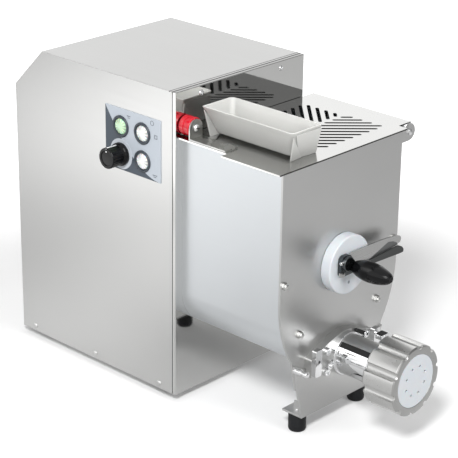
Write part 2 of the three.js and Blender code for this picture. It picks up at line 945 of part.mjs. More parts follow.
function motorFan() {
  const front = motorBack + fanStandOff;
  const hub = rodY(fanHubRadius, front, front + fanWidth, roundSegments);
  const shaft = rodY(motorShaftRadius, motorBack - motorShaftLength + seatGap, front + seatGap, smallSegments);
  const blades = [];
  for (let i = 0; i < fanBladeCount; i += 1) {
    const geometry = new THREE.BoxGeometry(fanRadius - fanHubRadius / 2, fanWidth, fanBladeSheet);
    geometry.translate((fanRadius + fanHubRadius / 2) / 2, front + fanWidth / 2, 0);
    geometry.rotateY((2 * Math.PI * i) / fanBladeCount);
    blades.push(solid(geometry));
  }
  return joined(hub, shaft, ...blades);
}

function fanCover() {
  const back = motorBack + seatGap + fanCoverLength;
  const front = motorBack + seatGap;
  const inner = fanCoverRadius - fanCoverSheet;
  const cup = turnedY(
    [
      [motorRadius - 2 * motorFinHeight, front],
      [fanCoverRadius, front],
      [fanCoverRadius, back - 2 * fanCoverSheet],
      [fanCoverRadius - 2 * fanCoverSheet, back],
      [0, back],
      [0, back - fanCoverSheet],
      [inner - 2 * fanCoverSheet, back - fanCoverSheet],
      [inner, back - 2 * fanCoverSheet],
      [inner, front + fanCoverSheet],
      [motorRadius - 2 * motorFinHeight, front + fanCoverSheet],
      [motorRadius - 2 * motorFinHeight, front],
    ],
    roundSegments,
  );
  const slots = [];
  for (let i = 0; i < fanSlotCount; i += 1) {
    const z = (i - (fanSlotCount - 1) / 2) * fanSlotPitch;
    const half = fanRadius * Math.cos(z / fanCoverRadius) * (1 - Math.abs(z) / (3 * fanRadius));
    const reach = [back - 2 * fanCoverSheet, back + overrun];
    slots.push(block(-half, half, ...reach, z - fanSlotHeight / 2, z + fanSlotHeight / 2));
  }
  return cut(cup, ...slots);
}

function controlPlate() {
  const back = coverDepth - coverSheet - controlPlateInset;
  const half = controlPlateWidth / 2;
  const top = baseTop + controlPlateHeight;
  const sheet = block(-half, half, back - controlPlateSheet, back, baseTop, top);
  const footTop = baseTop + controlPlateSheet;
  const foot = block(-half, half, back - controlPlateFoot, back, baseTop, footTop);
  const glandRoom = rodY(
    glandNutRadius + controlPlateSheet,
    back - controlPlateSheet - overrun,
    back + overrun,
    roundSegments,
    glandOffset,
    glandHeight,
  );
  return cut(joined(sheet, foot, contactorBody()), glandRoom);
}

function contactorBody() {
  const back = coverDepth - coverSheet - controlPlateInset;
  const half = contactorWidth / 2;
  const left = contactorOffset - half;
  const low = baseTop + contactorLift;
  const front = back - controlPlateSheet - contactorDepth;
  const lower = block(left, left + contactorWidth, front + contactorRib, back, low, low + contactorHeight);
  const nose = [front, back, low + contactorHeight / 4, low + (contactorHeight * 3) / 4];
  const upper = block(left, left + contactorWidth, ...nose);
  const grooves = [];
  for (let i = 1; i <= contactorRibCount; i += 1) {
    const x = left + (i * contactorWidth) / (contactorRibCount + 1);
    const reach = [front, front + 2 * contactorRib, low + contactorHeight * 0.75, low + 2 * contactorHeight];
    grooves.push(block(x - contactorRib / 4, x + contactorRib / 4, ...reach));
  }
  return cut(joined(lower, upper), ...grooves);
}

function addDrive(parent) {
  const drive = new THREE.Group();
  addPiece(drive, 'gearbox_case', gearboxCase(), 'castAluminium');
  addPiece(drive, 'reducer_case', reducerCase(), 'castAluminium');
  addPiece(drive, 'control_plate', controlPlate(), 'greyPlastic');
  const sensor = rodY(sensorRadius, panelBack, panelBack + sensorLength, roundSegments);
  const sensorPiece = addPiece(drive, 'interlock_sensor', sensor, 'greyPlastic');
  sensorPiece.position.set(-magnetOffset, 0, lidTop + magnetRise);
  const augerLine = new THREE.Group();
  augerLine.position.set(0, 0, augerHeight);
  const augerGear = gearBody(augerTeeth, Math.PI / 2);
  const augerShaft = joined(driveShaft(caseCoverBack + reducerBoreDepth - seatGap), augerGear);
  addPiece(augerLine, 'auger_drive_shaft', augerShaft, 'darkSteel');
  addPiece(augerLine, 'auger_bearing', shaftBearing(), 'bronze');
  addPiece(augerLine, 'motor_body', motorBody(), 'motorPaint');
  addPiece(augerLine, 'motor_fan', motorFan(), 'blackPlastic');
  addPiece(augerLine, 'fan_cover', fanCover(), 'motorPaint');
  const mixerLine = new THREE.Group();
  mixerLine.position.set(0, 0, mixerHeight);
  const mixerGear = gearBody(mixerTeeth, -Math.PI / 2 + Math.PI / mixerTeeth);
  const mixerShaft = joined(driveShaft(caseCoverBack - seatGap), mixerGear);
  addPiece(mixerLine, 'mixer_drive_shaft', mixerShaft, 'darkSteel');
  addPiece(mixerLine, 'mixer_bearing', shaftBearing(), 'bronze');
  drive.add(augerLine, mixerLine);
  parent.add(drive);
}

// Tank: an open trough whose sloping floor runs into a round channel for the auger
function troughOutline(inset, top) {
  const cx = tankHalfWidth - tankCornerRadius;
  const fallX = cx;
  const fallZ = tankCornerHeight - augerHeight;
  const distance = Math.hypot(fallX, fallZ);
  const spread = Math.acos((tankCornerRadius - channelRadius) / distance);
  const heading = Math.atan2(-fallZ, -fallX);
  const tangent = heading + spread;
  const corner = tankCornerRadius - inset;
  const right = [
    [tankHalfWidth - inset, top],
    ...arcPoints(cx, tankCornerHeight, corner, 0, tangent, smallSegments / 2),
  ];
  const channel = arcPoints(0, augerHeight, channelRadius - inset, tangent, -Math.PI / 2, smallSegments / 3);
  const half = [...right, ...channel];
  return [...half, ...mirrored(half).slice(1)];
}

// A rounded ear that carries the hinge rod, level with it where it leaves the sheet beside it
function hingeEar(from, to, rootX, radius, top) {
  const points = [
    [rootX - overrun, top],
    [rootX - overrun, hingeHeight - radius],
    ...arcPoints(hingeOffset, hingeHeight, radius, -Math.PI / 2, Math.PI / 2, smallSegments / 2),
    [hingeOffset - radius / 2, top],
  ];
  const ear = alongY(points, from, to);
  const place = [smallSegments, hingeOffset, hingeHeight];
  return cut(ear, rodY(hingeRodRadius + seatGap, from - overrun, to + overrun, ...place));
}

function nutPlaces() {
  return [0, Math.PI, -Math.PI / 4, (-3 * Math.PI) / 4].map((angle) => [
    nutCircleRadius * Math.cos(angle),
    mixerHeight + nutCircleRadius * Math.sin(angle),
  ]);
}

function tankBody() {
  const outer = alongY(troughOutline(0, tankTop), tankFront, tankBack);
  const inner = alongY(troughOutline(tankSheet, tankTop + overrun), tankFront + tankSheet, tankBack - tankSheet);
  const rearReach = [tankBack - tankSheet - overrun, tankBack + overrun];
  const frontReach = [tankFront - overrun, tankFront + tankSheet + overrun];
  const cuts = [
    rodY(shaftRadius + seatGap, ...rearReach, roundSegments, 0, augerHeight),
    rodY(shaftRadius + seatGap, ...rearReach, roundSegments, 0, mixerHeight),
    rodY(barrelBore, ...frontReach, fineSegments, 0, augerHeight),
    rodY(paddleOpeningRadius, ...frontReach, fineSegments, 0, mixerHeight),
  ];
  const trough = cut(outer, inner, ...cuts);
  const earTop = hingeHeight + rearEarRadius - seatGap;
  return joined(trough, hingeEar(tankBack - tankSheet, tankBack, tankHalfWidth, rearEarRadius, earTop));
}

function legHalfWidthAt(z) {
  const knee = plateHalfWidthAtKnee();
  return legHalfWidth + ((knee - legHalfWidth) * (z - legBottom)) / (plateKneeHeight - legBottom);
}

function plateHalfWidthAtKnee() {
  const fall = plateCurveHeight - plateKneeHeight;
  return plateHalfWidth - plateCurveRadius + Math.sqrt(plateCurveRadius ** 2 - fall ** 2);
}

function frontPlate() {
  const kneeAngle = -Math.asin((plateCurveHeight - plateKneeHeight) / plateCurveRadius);
  const curveCentre = plateHalfWidth - plateCurveRadius;
  const bottom = legBottom + legOverlap;
  const half = [
    [plateHalfWidth, plateTop],
    ...arcPoints(curveCentre, plateCurveHeight, plateCurveRadius, 0, kneeAngle, smallSegments / 2),
    [legHalfWidthAt(bottom), bottom],
  ];
  const reach = [plateFront - overrun, tankFront + overrun];
  const cuts = [
    rodY(paddleOpeningRadius, ...reach, fineSegments, 0, mixerHeight),
    rodY(barrelRadius, ...reach, fineSegments, 0, augerHeight),
    ...nutPlaces().map(([x, z]) => rodY(screwHoleRadius, ...reach, tinySegments, x, z)),
  ];
  const sheet = cut(alongY([...half, ...mirrored(half)], plateFront, tankFront), ...cuts);
  return joined(sheet, hingeEar(plateFront, tankFront, plateHalfWidth, hingeEarRadius, plateTop));
}

function domeNut() {
  const hex = [
    [0, -nutHeight / 2],
    [nutRadius, -nutHeight / 2],
    [nutRadius, 0],
    [0, 0],
  ];
  const dome = [
    [0, -nutHeight],
    [nutRadius / 2, -nutHeight * 0.9],
    [nutRadius * 0.8, -nutHeight * 0.6],
    [nutRadius * 0.8, -seatGap],
    [0, -seatGap],
  ];
  const stud = rodY(screwShankRadius, -nutHeight / 2, plateSheet, tinySegments);
  return joined(turnedY(hex, nutSideCount), turnedY(dome, smallSegments), stud);
}

function flangeOutline(extra) {
  const half = [
    [barrelSoleHalf + extra, -barrelSoleDrop - extra],
    [barrelFlangeHalf + extra, -barrelEarDrop - extra],
  ];
  for (let i = barrelCrownSteps; i > 0; i -= 1) {
    const share = i / barrelCrownSteps;
    const rise = barrelEarRise + (barrelCrownRise - barrelEarRise) * (1 - share ** barrelCrownShare);
    half.push([(barrelFlangeHalf + extra) * share, rise + extra]);
  }
  half.push([0, barrelCrownRise + extra]);
  return [...half, ...mirrored(half).slice(1)];
}

function raised(points, height) {
  return points.map(([x, z]) => [x, z + height]);
}

function frontLeg() {
  const half = [
    [legHalfWidth, legBottom - legSheet],
    [legHalfWidthAt(legTopOuter), legTopOuter],
    [legTopInnerHalf, legTopInner],
  ];
  const face = alongY([...half, ...mirrored(half)], legFront, plateFront);
  const room = raised(flangeOutline(seatGap), augerHeight);
  const reach = [legFront - overrun, plateFront + overrun];
  const seat = rodY(barrelRadius + seatGap, ...reach, fineSegments, 0, augerHeight);
  const back = legFront + legSheet + legFlangeDepth;
  const flange = block(-legHalfWidth, legHalfWidth, legFront, back, legBottom - legSheet, legBottom);
  return joined(cut(face, alongY(room, ...reach), seat), flange);
}



function addTank(parent) {
  const tank = new THREE.Group();
  addPiece(tank, 'tank_body', tankBody(), 'satinSteel');
  addPiece(tank, 'tank_front_plate', frontPlate(), 'satinSteel');
  const corners = ['upper_right', 'upper_left', 'lower_right', 'lower_left'];
  nutPlaces().forEach(([x, z], i) => {
    const nut = addPiece(tank, `dome_nut_${corners[i]}`, domeNut(), 'chrome');
    nut.position.set(x, plateFront, z);
  });
  addPiece(tank, 'front_leg', frontLeg(), 'satinSteel');
  const footY = legFront + frontFootInset;
  const footTop = legBottom - legSheet;
  addPiece(tank, 'front_foot_left', footBody(-frontFootSpread / 2, footY, footTop), 'blackRubber');
  addPiece(tank, 'front_foot_right', footBody(frontFootSpread / 2, footY, footTop), 'blackRubber');
  parent.add(tank);
}

// Lid with two families of slanting slots, hinge, safety magnet and feeding tray
function slotBar(x0, y0, x1, y1) {
  const length = Math.hypot(x1 - x0, y1 - y0);
  const angle = Math.atan2(y1 - y0, x1 - x0);
  const radius = slotWidth / 2;
  const steps = tinySegments / 2;
  const points = [
    ...arcPoints(length, 0, radius, -Math.PI / 2, Math.PI / 2, steps),
    ...arcPoints(0, 0, radius, Math.PI / 2, (3 * Math.PI) / 2, steps),
  ];
  const turned = points.map(([u, v]) => [
    x0 + u * Math.cos(angle) - v * Math.sin(angle),
    y0 + u * Math.sin(angle) + v * Math.cos(angle),
  ]);
  return alongZ(turned, lidUnder - overrun, lidTop + overrun);
}

// Slots at 45 degrees between two Y lines; slope 1 runs one way and -1 the other
function slotFamily(lowY, highY, right, first, pitch, slope) {
  const bars = [];
  const xAt = (y, offset) => THREE.MathUtils.clamp(offset + slope * y, slotsLeft, right);
  let offset = first;
  while (offset + slope * (slope > 0 ? highY : lowY) > slotsLeft) {
    const [x0, x1] = [xAt(lowY, offset), xAt(highY, offset)];
    if (Math.abs(x1 - x0) > slotShortest) bars.push(slotBar(x0, (x0 - offset) / slope, x1, (x1 - offset) / slope));
    offset -= pitch * Math.SQRT2;
  }
  return bars;
}

function lidBody() {
  const points = [
    [-lidLeft, -lidFront],
    [lidNotchLeft, -lidFront],
    [lidNotchLeft, -lidNotchBack],
    [lidRight, -lidNotchBack],
    [lidRight, -lidRear],
    [-lidStepLeft, -lidRear],
    [-lidStepLeft, -lidStepBack],
    [-lidLeft, -lidStepBack],
  ];
  const sheet = alongZ(points, lidUnder, lidTop);
  const rearSlots = slotFamily(slotsRearLow, slotsRear, slotsRearRight, slotsRearFirst, slotsRearPitch, 1);
  const frontRun = [slotsFrontHigh, slotsFrontRight, slotsFrontFirst, slotsFrontPitch, -1];
  const frontSlots = slotFamily(slotsFront, ...frontRun);
  return cut(sheet, ...rearSlots, ...frontSlots);
}

function hingeSleeve() {
  const reach = [tankFront + hingeTubeInset, tankBack - hingeTubeInset];
  const place = [roundSegments, hingeOffset, hingeHeight];
  return ringY(hingeTubeRadius, hingeRodRadius + seatGap, ...reach, ...place);
}

function hingeRod() {
  const rod = rodY(hingeRodRadius, plateFront, tankBack - seatGap, smallSegments, hingeOffset, hingeHeight);
  const head = turnedY(
    [
      [0, plateFront - hingeRodHead],
      [hingeRodRadius, plateFront - hingeRodHead / 2],
      [hingeRodRadius + 1.5 * seatGap, plateFront],
      [0, plateFront],
    ],
    smallSegments,
    hingeOffset,
    hingeHeight,
  );
  return joined(rod, head);
}

const magnetFront = panelFront - 1.5 - magnetLength;

function magnetBracket() {
  const half = bracketWidth / 2;
  const height = lidTop + magnetRise;
  const tab = [
    [-half, lidTop],
    [half, lidTop],
    ...arcPoints(0, height, half, 0, Math.PI, smallSegments),
  ];
  const front = magnetFront - seatGap - bracketSheet;
  const upright = alongY(tab, front, front + bracketSheet);
  const foot = block(-half, half, front - bracketFoot, front + bracketSheet, lidTop, lidTop + bracketSheet);
  const hole = rodY(bracketScrewRadius, front - overrun, front + overrun, smallSegments, 0, height);
  return cut(joined(upright, foot), hole);
}

function magnetBody() {
  const back = magnetFront + magnetLength;
  const middle = magnetFront + magnetLength / 2;
  const profile = [
    [0, magnetFront],
    [magnetRadius - magnetGroove, magnetFront],
    [magnetRadius - seatGap, magnetFront + magnetGroove],
    [magnetRadius - seatGap, middle - magnetGroove],
    [magnetRadius - magnetGroove, middle],
    [magnetRadius - seatGap, middle + magnetGroove],
    [magnetRadius - seatGap, back - magnetGroove],
    [magnetRadius - magnetGroove, back],
    [0, back],
  ];
  const screwRoom = rodY(bracketScrewRadius / 2 + seatGap, magnetFront - overrun, middle, tinySegments);
  return cut(turnedY(profile, roundSegments), screwRoom);
}

function magnetScrew() {
  const face = magnetFront - seatGap - bracketSheet;
  const head = turnedY(
    [
      [0, face - bracketScrewRadius],
      [bracketScrewRadius, face - bracketScrewRadius / 2],
      [bracketScrewRadius + 1, face - seatGap],
      [0, face - seatGap],
    ],
    smallSegments,
  );
  const shank = rodY(bracketScrewRadius / 2, face - overrun / 2, magnetFront + magnetLength / 3, tinySegments);
  return joined(head, shank);
}

function taperedBox(halfX, halfY, shrink, low, high) {
  const corners = (z, inset) => [
    [-halfX + inset, -halfY + inset, z],
    [halfX - inset, -halfY + inset, z],
    [halfX - inset, halfY - inset, z],
    [-halfX + inset, halfY - inset, z],
  ];
  const positions = [...corners(low, shrink), ...corners(high, 0)].flat();
  const geometry = new THREE.BufferGeometry();
  geometry.setAttribute('position', new THREE.Float32BufferAttribute(positions, 3));
  const sides = [0, 1, 2, 3].flatMap((i) => {
    const j = (i + 1) % 4;
    return [i, j, j + 4, i, j + 4, i + 4];
  });
  geometry.setIndex([0, 2, 1, 0, 3, 2, 4, 5, 6, 4, 6, 7, ...sides]);
  return solid(geometry);
}

function trayBody() {
  const halfX = trayWidth / 2 - trayLip;
  const halfY = trayLength / 2 - trayLip;
  const top = lidTop + trayHeight;
  const floor = lidTop + trayLift;
  const shell = taperedBox(halfX, halfY, trayTaper, floor, top);
  const hollow = taperedBox(halfX - trayWall, halfY - trayWall, trayTaper, floor + trayWall, top + seatGap);
  const rim = taperedBox(halfX + trayLip, halfY + trayLip, trayLip, top - 2 * trayLip, top);
  const fins = [];
  for (const sideY of [-1, 1]) {
    const y = sideY * (halfY - trayTaper - trayFinSheet);
    const reach = [y - trayFinSheet / 2, y + trayFinSheet / 2];
    for (const sideX of [-1, 1]) {
      const points = [
        [sideX * (halfX - trayTaper - trayWall), floor + trayWall / 2],
        [sideX * (halfX - trayTaper - trayWall), lidTop],
        [sideX * halfX, lidTop],
        [sideX * halfX, top - 2 * trayLip],
      ];
      fins.push(alongY(sideX > 0 ? points : points.reverse(), ...reach));
    }
  }
  return cut(joined(shell, rim, ...fins), hollow);
}

function addLid(parent) {
  const lid = new THREE.Group();
  addPiece(lid, 'lid', lidBody(), 'mirrorSteel');
  addPiece(lid, 'lid_hinge_sleeve', hingeSleeve(), 'satinSteel');
  addPiece(lid, 'hinge_rod', hingeRod(), 'chrome');
  const safety = new THREE.Group();
  safety.position.set(-magnetOffset, 0, 0);
  addPiece(safety, 'magnet_bracket', magnetBracket(), 'satinSteel');
  const magnet = addPiece(safety, 'interlock_magnet', magnetBody(), 'redPlastic');
  magnet.position.set(0, 0, lidTop + magnetRise);
  const screw = addPiece(safety, 'magnet_screw', magnetScrew(), 'chrome');
  screw.position.set(0, 0, lidTop + magnetRise);
  const tray = addPiece(lid, 'feeder_tray', trayBody(), 'trayPlastic');
  tray.position.set(-trayOffset, -traySetback - trayLength / 2, 0);
  lid.add(safety);
  parent.add(lid);
}

// Mixing paddle, the white disc that carries its front end, and the locking lever with its grip
function paddleBody() {
  const back = shaftFront - seatGap;
  const front = tankFront + tankSheet + seatGap;
  const shaft = rodY(paddleShaftRadius, front, back, roundSegments);
  const pin = rodY(paddlePinRadius, plateFront, front + overrun, roundSegments);
  const parts = [shaft, pin];
  const middle = (front + back) / 2;
  for (let i = 0; i < paddleArmCount; i += 1) {
    const y = middle + (i - (paddleArmCount - 1) / 2) * paddleArmPitch;
    const angle = (i * Math.PI) / 2;
    const reach = paddleReach - paddleBladeSheet;
    const arm = new THREE.CylinderGeometry(paddleArmRadius, paddleArmRadius, 2 * reach, tinySegments);
    arm.rotateX(Math.PI / 2);
    arm.rotateY(angle);
    arm.translate(0, y, 0);
    parts.push(solid(arm));
    for (const side of [-1, 1]) {
      const blade = new THREE.BoxGeometry(paddleBladeSheet, paddleBladeWidth, paddleBladeHeight);
      blade.rotateZ(side * Math.PI / 5);
      blade.translate(0, 0, side * (reach - paddleBladeHeight / 2));
      blade.rotateY(angle);
      blade.translate(0, y, 0);
      parts.push(solid(blade));
    }
  }
  return cut(joined(...parts), tongueSlot());
}

function bearingDisc() {
  const rear = plateFront - seatGap;
  const spigotBack = tankFront;
  const profile = [
    [0, discFront],
    [discRadius - discRound, discFront],
    [discRadius, discFront + discRound],
    [discRadius, rear],
    [paddleOpeningRadius - seatGap, rear],
    [paddleOpeningRadius - seatGap, spigotBack],
    [0, spigotBack],
  ];
  const bore = rodY(paddlePinRadius + seatGap, plateFront - seatGap, tankFront + overrun, roundSegments);
  const holeReach = [discFront - overrun, discFront + overrun];
  const hole = rodY(discHoleRadius, ...holeReach, tinySegments, discHoleAside, -discHoleDrop);
  return cut(turnedY(profile, fineSegments), bore, hole);
}

function leverHub() {
  const points = [
    [hubCorner - hubLeft, -hubDrop],
    [hubRight - hubCorner, -hubDrop],
    [hubRight, hubCorner - hubDrop],
    [hubRight, hubRise - hubCorner],
    [hubRight - hubCorner, hubRise],
    [hubCorner - hubLeft, hubRise],
    [-hubLeft, hubRise - hubCorner],
    [-hubLeft, hubCorner - hubDrop],
  ];
  const plate = alongY(points, hubFront, hubFront + hubThick);
  const spindleFront = gripRear - gripLength * gripBoreShare + seatGap;
  return joined(plate, rodY(gripSpindleRadius, spindleFront, hubFront + hubThick / 2, smallSegments));
}

// A folded channel, open at the back; its web is cut away slantwise and leaves two rounded prongs
function leverBody() {
  const root = leverRootHeight / 2;
  const end = leverEndHeight / 2;
  const web = [
    [0, -root],
    [leverLength, -end],
    [leverLength, end],
    [0, root],
  ];
  const inner = [
    [-overrun, leverSheet - root],
    [leverLength + overrun, leverSheet - end],
    [leverLength + overrun, end - leverSheet],
    [-overrun, root - leverSheet],
  ];
  const channel = cut(alongY(web, -leverFold, 0), alongY(inner, leverSheet - leverFold, overrun));
  const mouth = [
    [leverLength - leverNotchLow, leverSheet - root],
    [leverLength - leverNotchHigh, end - leverSheet],
    [leverLength + overrun, end - leverSheet],
    [leverLength + overrun, leverSheet - end],
  ];
  const tipRadius = leverFold / 2;
  const tipStart = leverLength - tipRadius;
  const high = leverRootHeight + overrun;
  const tip = block(tipStart, leverLength + overrun, -leverFold - overrun, overrun, -root, root);
  const round = rodZ(tipRadius, -high, high, roundSegments, tipStart, -tipRadius);
  return cut(channel, alongY(mouth, -leverFold - overrun, overrun), cut(tip, round));
}

function gripProfile() {
  const front = gripRear - gripLength;
  const points = [[0, gripRear], [gripNeckRadius, gripRear]];
  for (let i = 1; i <= gripRings; i += 1) {
    const share = i / gripRings;
    const swell = Math.sin(Math.PI * share ** 0.82) ** 0.8;
    const base = gripNeckRadius + (gripEndRadius - gripNeckRadius) * share;
    points.push([base + (gripRadius - base) * swell, gripRear - gripLength * share]);
  }
  points[points.length - 1] = [gripEndRadius, front];
  points.push([0, front]);
  return points;
}

function ovalGrip() {
  const reach = [gripRear - gripLength * gripBoreShare, gripRear + overrun];
  const bore = rodY(gripSpindleRadius + seatGap, ...reach, smallSegments);
  return cut(turnedY(gripProfile(), roundSegments), bore);
}

function addMixer(parent) {
  const mixer = new THREE.Group();
  mixer.position.set(0, 0, mixerHeight);
  addPiece(mixer, 'mixing_paddle', paddleBody(), 'satinSteel');
  addPiece(mixer, 'bearing_disc', bearingDisc(), 'whitePlastic');
  addPiece(mixer, 'lever_hub', leverHub(), 'darkSteel');
  addPiece(mixer, 'oval_grip', ovalGrip(), 'blackPlastic');
  const lever = addPiece(mixer, 'locking_lever', leverBody(), 'satinSteel');
  lever.rotation.set(0, leverSlope, 0);
  lever.position.set(hubRight + 2 * seatGap, discFront - leverStandOff, leverOffset);
  parent.add(mixer);
}

// Extruder: auger, barrel with its flange, clamps, bolts, die and ring nut
function helixFlight(radius, from, to) {
  const steps = Math.round(((to - from) / augerPitch) * augerTurnSteps);
  const inner = augerCoreRadius / 2;
  const positions = [];
  const faces = [];
  for (let i = 0; i <= steps; i += 1) {
    const y = from + ((to - from) * i) / steps;
    const angle = (2 * Math.PI * (y - from)) / augerPitch;
    const corners = [
      [inner, -augerFlight / 2],
      [radius, -augerFlight / 2],
      [radius, augerFlight / 2],
      [inner, augerFlight / 2],
    ];
    for (const [r, shift] of corners) {
      positions.push(r * Math.cos(angle), y + shift, r * Math.sin(angle));
    }
    if (i > 0) {
      const a = (i - 1) * 4;
      const b = i * 4;
      for (let k = 0; k < 4; k += 1) {
        const n = (k + 1) % 4;
        faces.push(a + k, a + n, b + n, a + k, b + n, b + k);
      }
    }
  }
  const last = steps * 4;
  faces.push(0, 3, 2, 0, 2, 1, last, last + 1, last + 2, last, last + 2, last + 3);
  const geometry = new THREE.BufferGeometry();
  geometry.setAttribute('position', new THREE.Float32BufferAttribute(positions, 3));
  geometry.setIndex(faces);
  return solid(geometry);
}

function augerBody() {
  const back = shaftFront - seatGap;
  const front = headFront + augerFlight;
  const core = rodY(augerCoreRadius, front, back, roundSegments);
  const hub = rodY(shaftRadius, back - tongueLength - augerFlight, back, roundSegments);
  const flight = helixFlight(augerRadius, front + augerFlight, back - augerRearRoom);
  return cut(joined(core, hub, flight), tongueSlot());
}

function barrelBody() {
  const flange = alongY(flangeOutline(0), barrelFlangeFront, plateFront);
  const profile = [
    [0, headFront],
    [barrelHeadRadius, headFront],
    [barrelHeadRadius, headRear],
    [barrelRadius, headRear],
    [barrelRadius, collarFront],
    [collarRadius - collarRound, collarFront],
    [collarRadius, collarFront + collarRound],
    [collarRadius, barrelFlangeFront + seatGap],
    [barrelRadius - seatGap, barrelFlangeFront + seatGap],
    [barrelRadius - seatGap, tankFront],
    [0, tankFront],
  ];
  const bolts = [-1, 1].flatMap((sideX) => [-1, 1].map((sideZ) => {
    const place = [(sideX * flangeBoltSpread) / 2, sideZ * flangeBoltRise];
    const front = barrelFlangeFront - flangeBoltHead;
    return rodY(flangeBoltRadius, front, barrelFlangeFront + overrun, nutSideCount, ...place);
  }));
  const bore = rodY(barrelBore, headFront - overrun, tankFront + overrun, fineSegments);
  return cut(joined(flange, turnedY(profile, fineSegments), ...bolts), bore);
}

function clampBlock() {
  const front = -clampThick;
  const halfX = clampWidth / 2;
  const halfZ = clampHeight / 2;
  const points = [
    [-halfX, -halfZ],
    [halfX, -halfZ],
    [halfX, halfZ - clampChamfer],
    [halfX - clampChamfer, halfZ],
    [clampChamfer - halfX, halfZ],
    [-halfX, halfZ - clampChamfer],
  ];
  const head = rodY(clampBoltRadius, front - clampBoltHead, front + overrun / 2, nutSideCount);
  return joined(alongY(points, front, 0), head);
}

function dieDisc() {
  const front = noseFront;
  const profile = [
    [0, front],
    [dieFaceRadius - seatGap, front],
    [dieFaceRadius - seatGap, dieShoulder],
    [dieRadius, dieShoulder],
    [dieRadius, dieRear],
    [0, dieRear],
  ];
  const holes = [];
  for (let i = 0; i < dieHoleCount; i += 1) {
    const angle = (2 * Math.PI * (i + 0.5)) / dieHoleCount;
    const place = [dieHoleCircle * Math.cos(angle), dieHoleCircle * Math.sin(angle)];
    holes.push(rodY(dieHoleRadius, front - overrun, dieRear + overrun, tinySegments, ...place));
  }
  return cut(turnedY(profile, fineSegments), ...holes);
}

function ringNut() {
  const back = noseFront + nutBodyLength;
  const lipBack = noseFront + nutLip;
  const bore = barrelHeadRadius + seatGap;
  const profile = [
    [dieFaceRadius, noseFront],
    [nutBodyRadius - nutChamfer, noseFront],
    [nutBodyRadius, noseFront + nutChamfer],
    [nutBodyRadius, back - nutChamfer],
    [nutBodyRadius - nutChamfer, back],
    [bore, back],
    [bore, lipBack],
    [dieFaceRadius, lipBack],
    [dieFaceRadius, noseFront],
  ];
  const grooves = [];
  const runs = [
    [nutGrooveDepth, noseFront + nutGrooveStop],
    [nutScallopDepth, noseFront - overrun],
  ];
  for (let i = 0; i < nutLobes; i += 1) {
    const angle = (2 * Math.PI * i) / nutLobes;
    for (const [depth, from] of runs) {
      const centre = nutBodyRadius - depth + nutGrooveRadius;
      const place = [centre * Math.cos(angle), centre * Math.sin(angle)];
      grooves.push(rodY(nutGrooveRadius, from, back + overrun, smallSegments, ...place));
    }
  }
  return cut(turnedY(profile, fineSegments), ...grooves);
}

function addExtruder(parent) {
  const extruder = new THREE.Group();
  extruder.position.set(0, 0, augerHeight);
  addPiece(extruder, 'auger_screw', augerBody(), 'satinSteel');
  addPiece(extruder, 'extruder_barrel', barrelBody(), 'chrome');
  const clampX = barrelFlangeHalf - clampWidth / 2;
  for (const [side, x] of [['left', -clampX], ['right', clampX]]) {
    const clamp = addPiece(extruder, `clamp_block_${side}`, clampBlock(), 'chrome');
    clamp.position.set(x, barrelFlangeFront, clampRise);
  }
  addPiece(extruder, 'die_disc', dieDisc(), 'whitePlastic');
  addPiece(extruder, 'ring_nut', ringNut(), 'satinSteel');
  parent.add(extruder);
}

addHousing(machine);
addControls(machine);
addDrive(machine);
addTank(machine);
addLid(machine);
addMixer(machine);
addExtruder(machine);

// The finished machine stands with the middle of its footprint at the origin
machine.updateMatrixWorld(true);
const extent = new THREE.Box3().setFromObject(machine, true);
machine.position.set(
  -(extent.min.x + extent.max.x) / 2,
  -(extent.min.y + extent.max.y) / 2,
  -extent.min.z,
);
machine.updateMatrixWorld(true);

export default machine;
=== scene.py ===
import math

import bmesh
import bpy
import numpy as np
from mathutils import Matrix, Vector


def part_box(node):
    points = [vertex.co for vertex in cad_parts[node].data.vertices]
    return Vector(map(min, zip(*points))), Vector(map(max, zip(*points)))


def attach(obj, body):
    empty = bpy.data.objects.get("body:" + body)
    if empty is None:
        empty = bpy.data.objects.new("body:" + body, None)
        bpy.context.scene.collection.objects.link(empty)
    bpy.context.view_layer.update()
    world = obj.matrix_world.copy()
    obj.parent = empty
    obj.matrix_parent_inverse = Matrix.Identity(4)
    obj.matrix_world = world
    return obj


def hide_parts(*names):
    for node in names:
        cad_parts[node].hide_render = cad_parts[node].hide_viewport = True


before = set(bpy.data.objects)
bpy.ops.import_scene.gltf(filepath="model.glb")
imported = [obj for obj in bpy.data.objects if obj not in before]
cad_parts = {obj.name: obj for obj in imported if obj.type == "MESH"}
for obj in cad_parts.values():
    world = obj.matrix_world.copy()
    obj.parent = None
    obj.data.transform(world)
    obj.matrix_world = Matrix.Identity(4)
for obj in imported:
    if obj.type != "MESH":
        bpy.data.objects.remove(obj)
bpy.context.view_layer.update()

# Places are in millimetres: x from the cover's middle, y rearward from its front edge, z from its lower edge
panelLow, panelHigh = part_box("front_panel")
zero = np.array([(panelLow.x + panelHigh.x) / 2, panelHigh.y, panelLow.z])
scene = bpy.context.scene


def place(points):
    # millimetres to metres in the frame: p / 1000 + zero
    return np.asarray(points, float) * 0.001 + zero


# Camera, floor and light

camera = {
    "lens": 136.3, "sensor": 36.0,
    "place": (-1600.95, -1485.1, 1105.9),
    "azimuth": -46.885, "elevation": 22.383, "roll": 0.8086,  # degrees
    "clip": (0.1, 50),  # metres
}


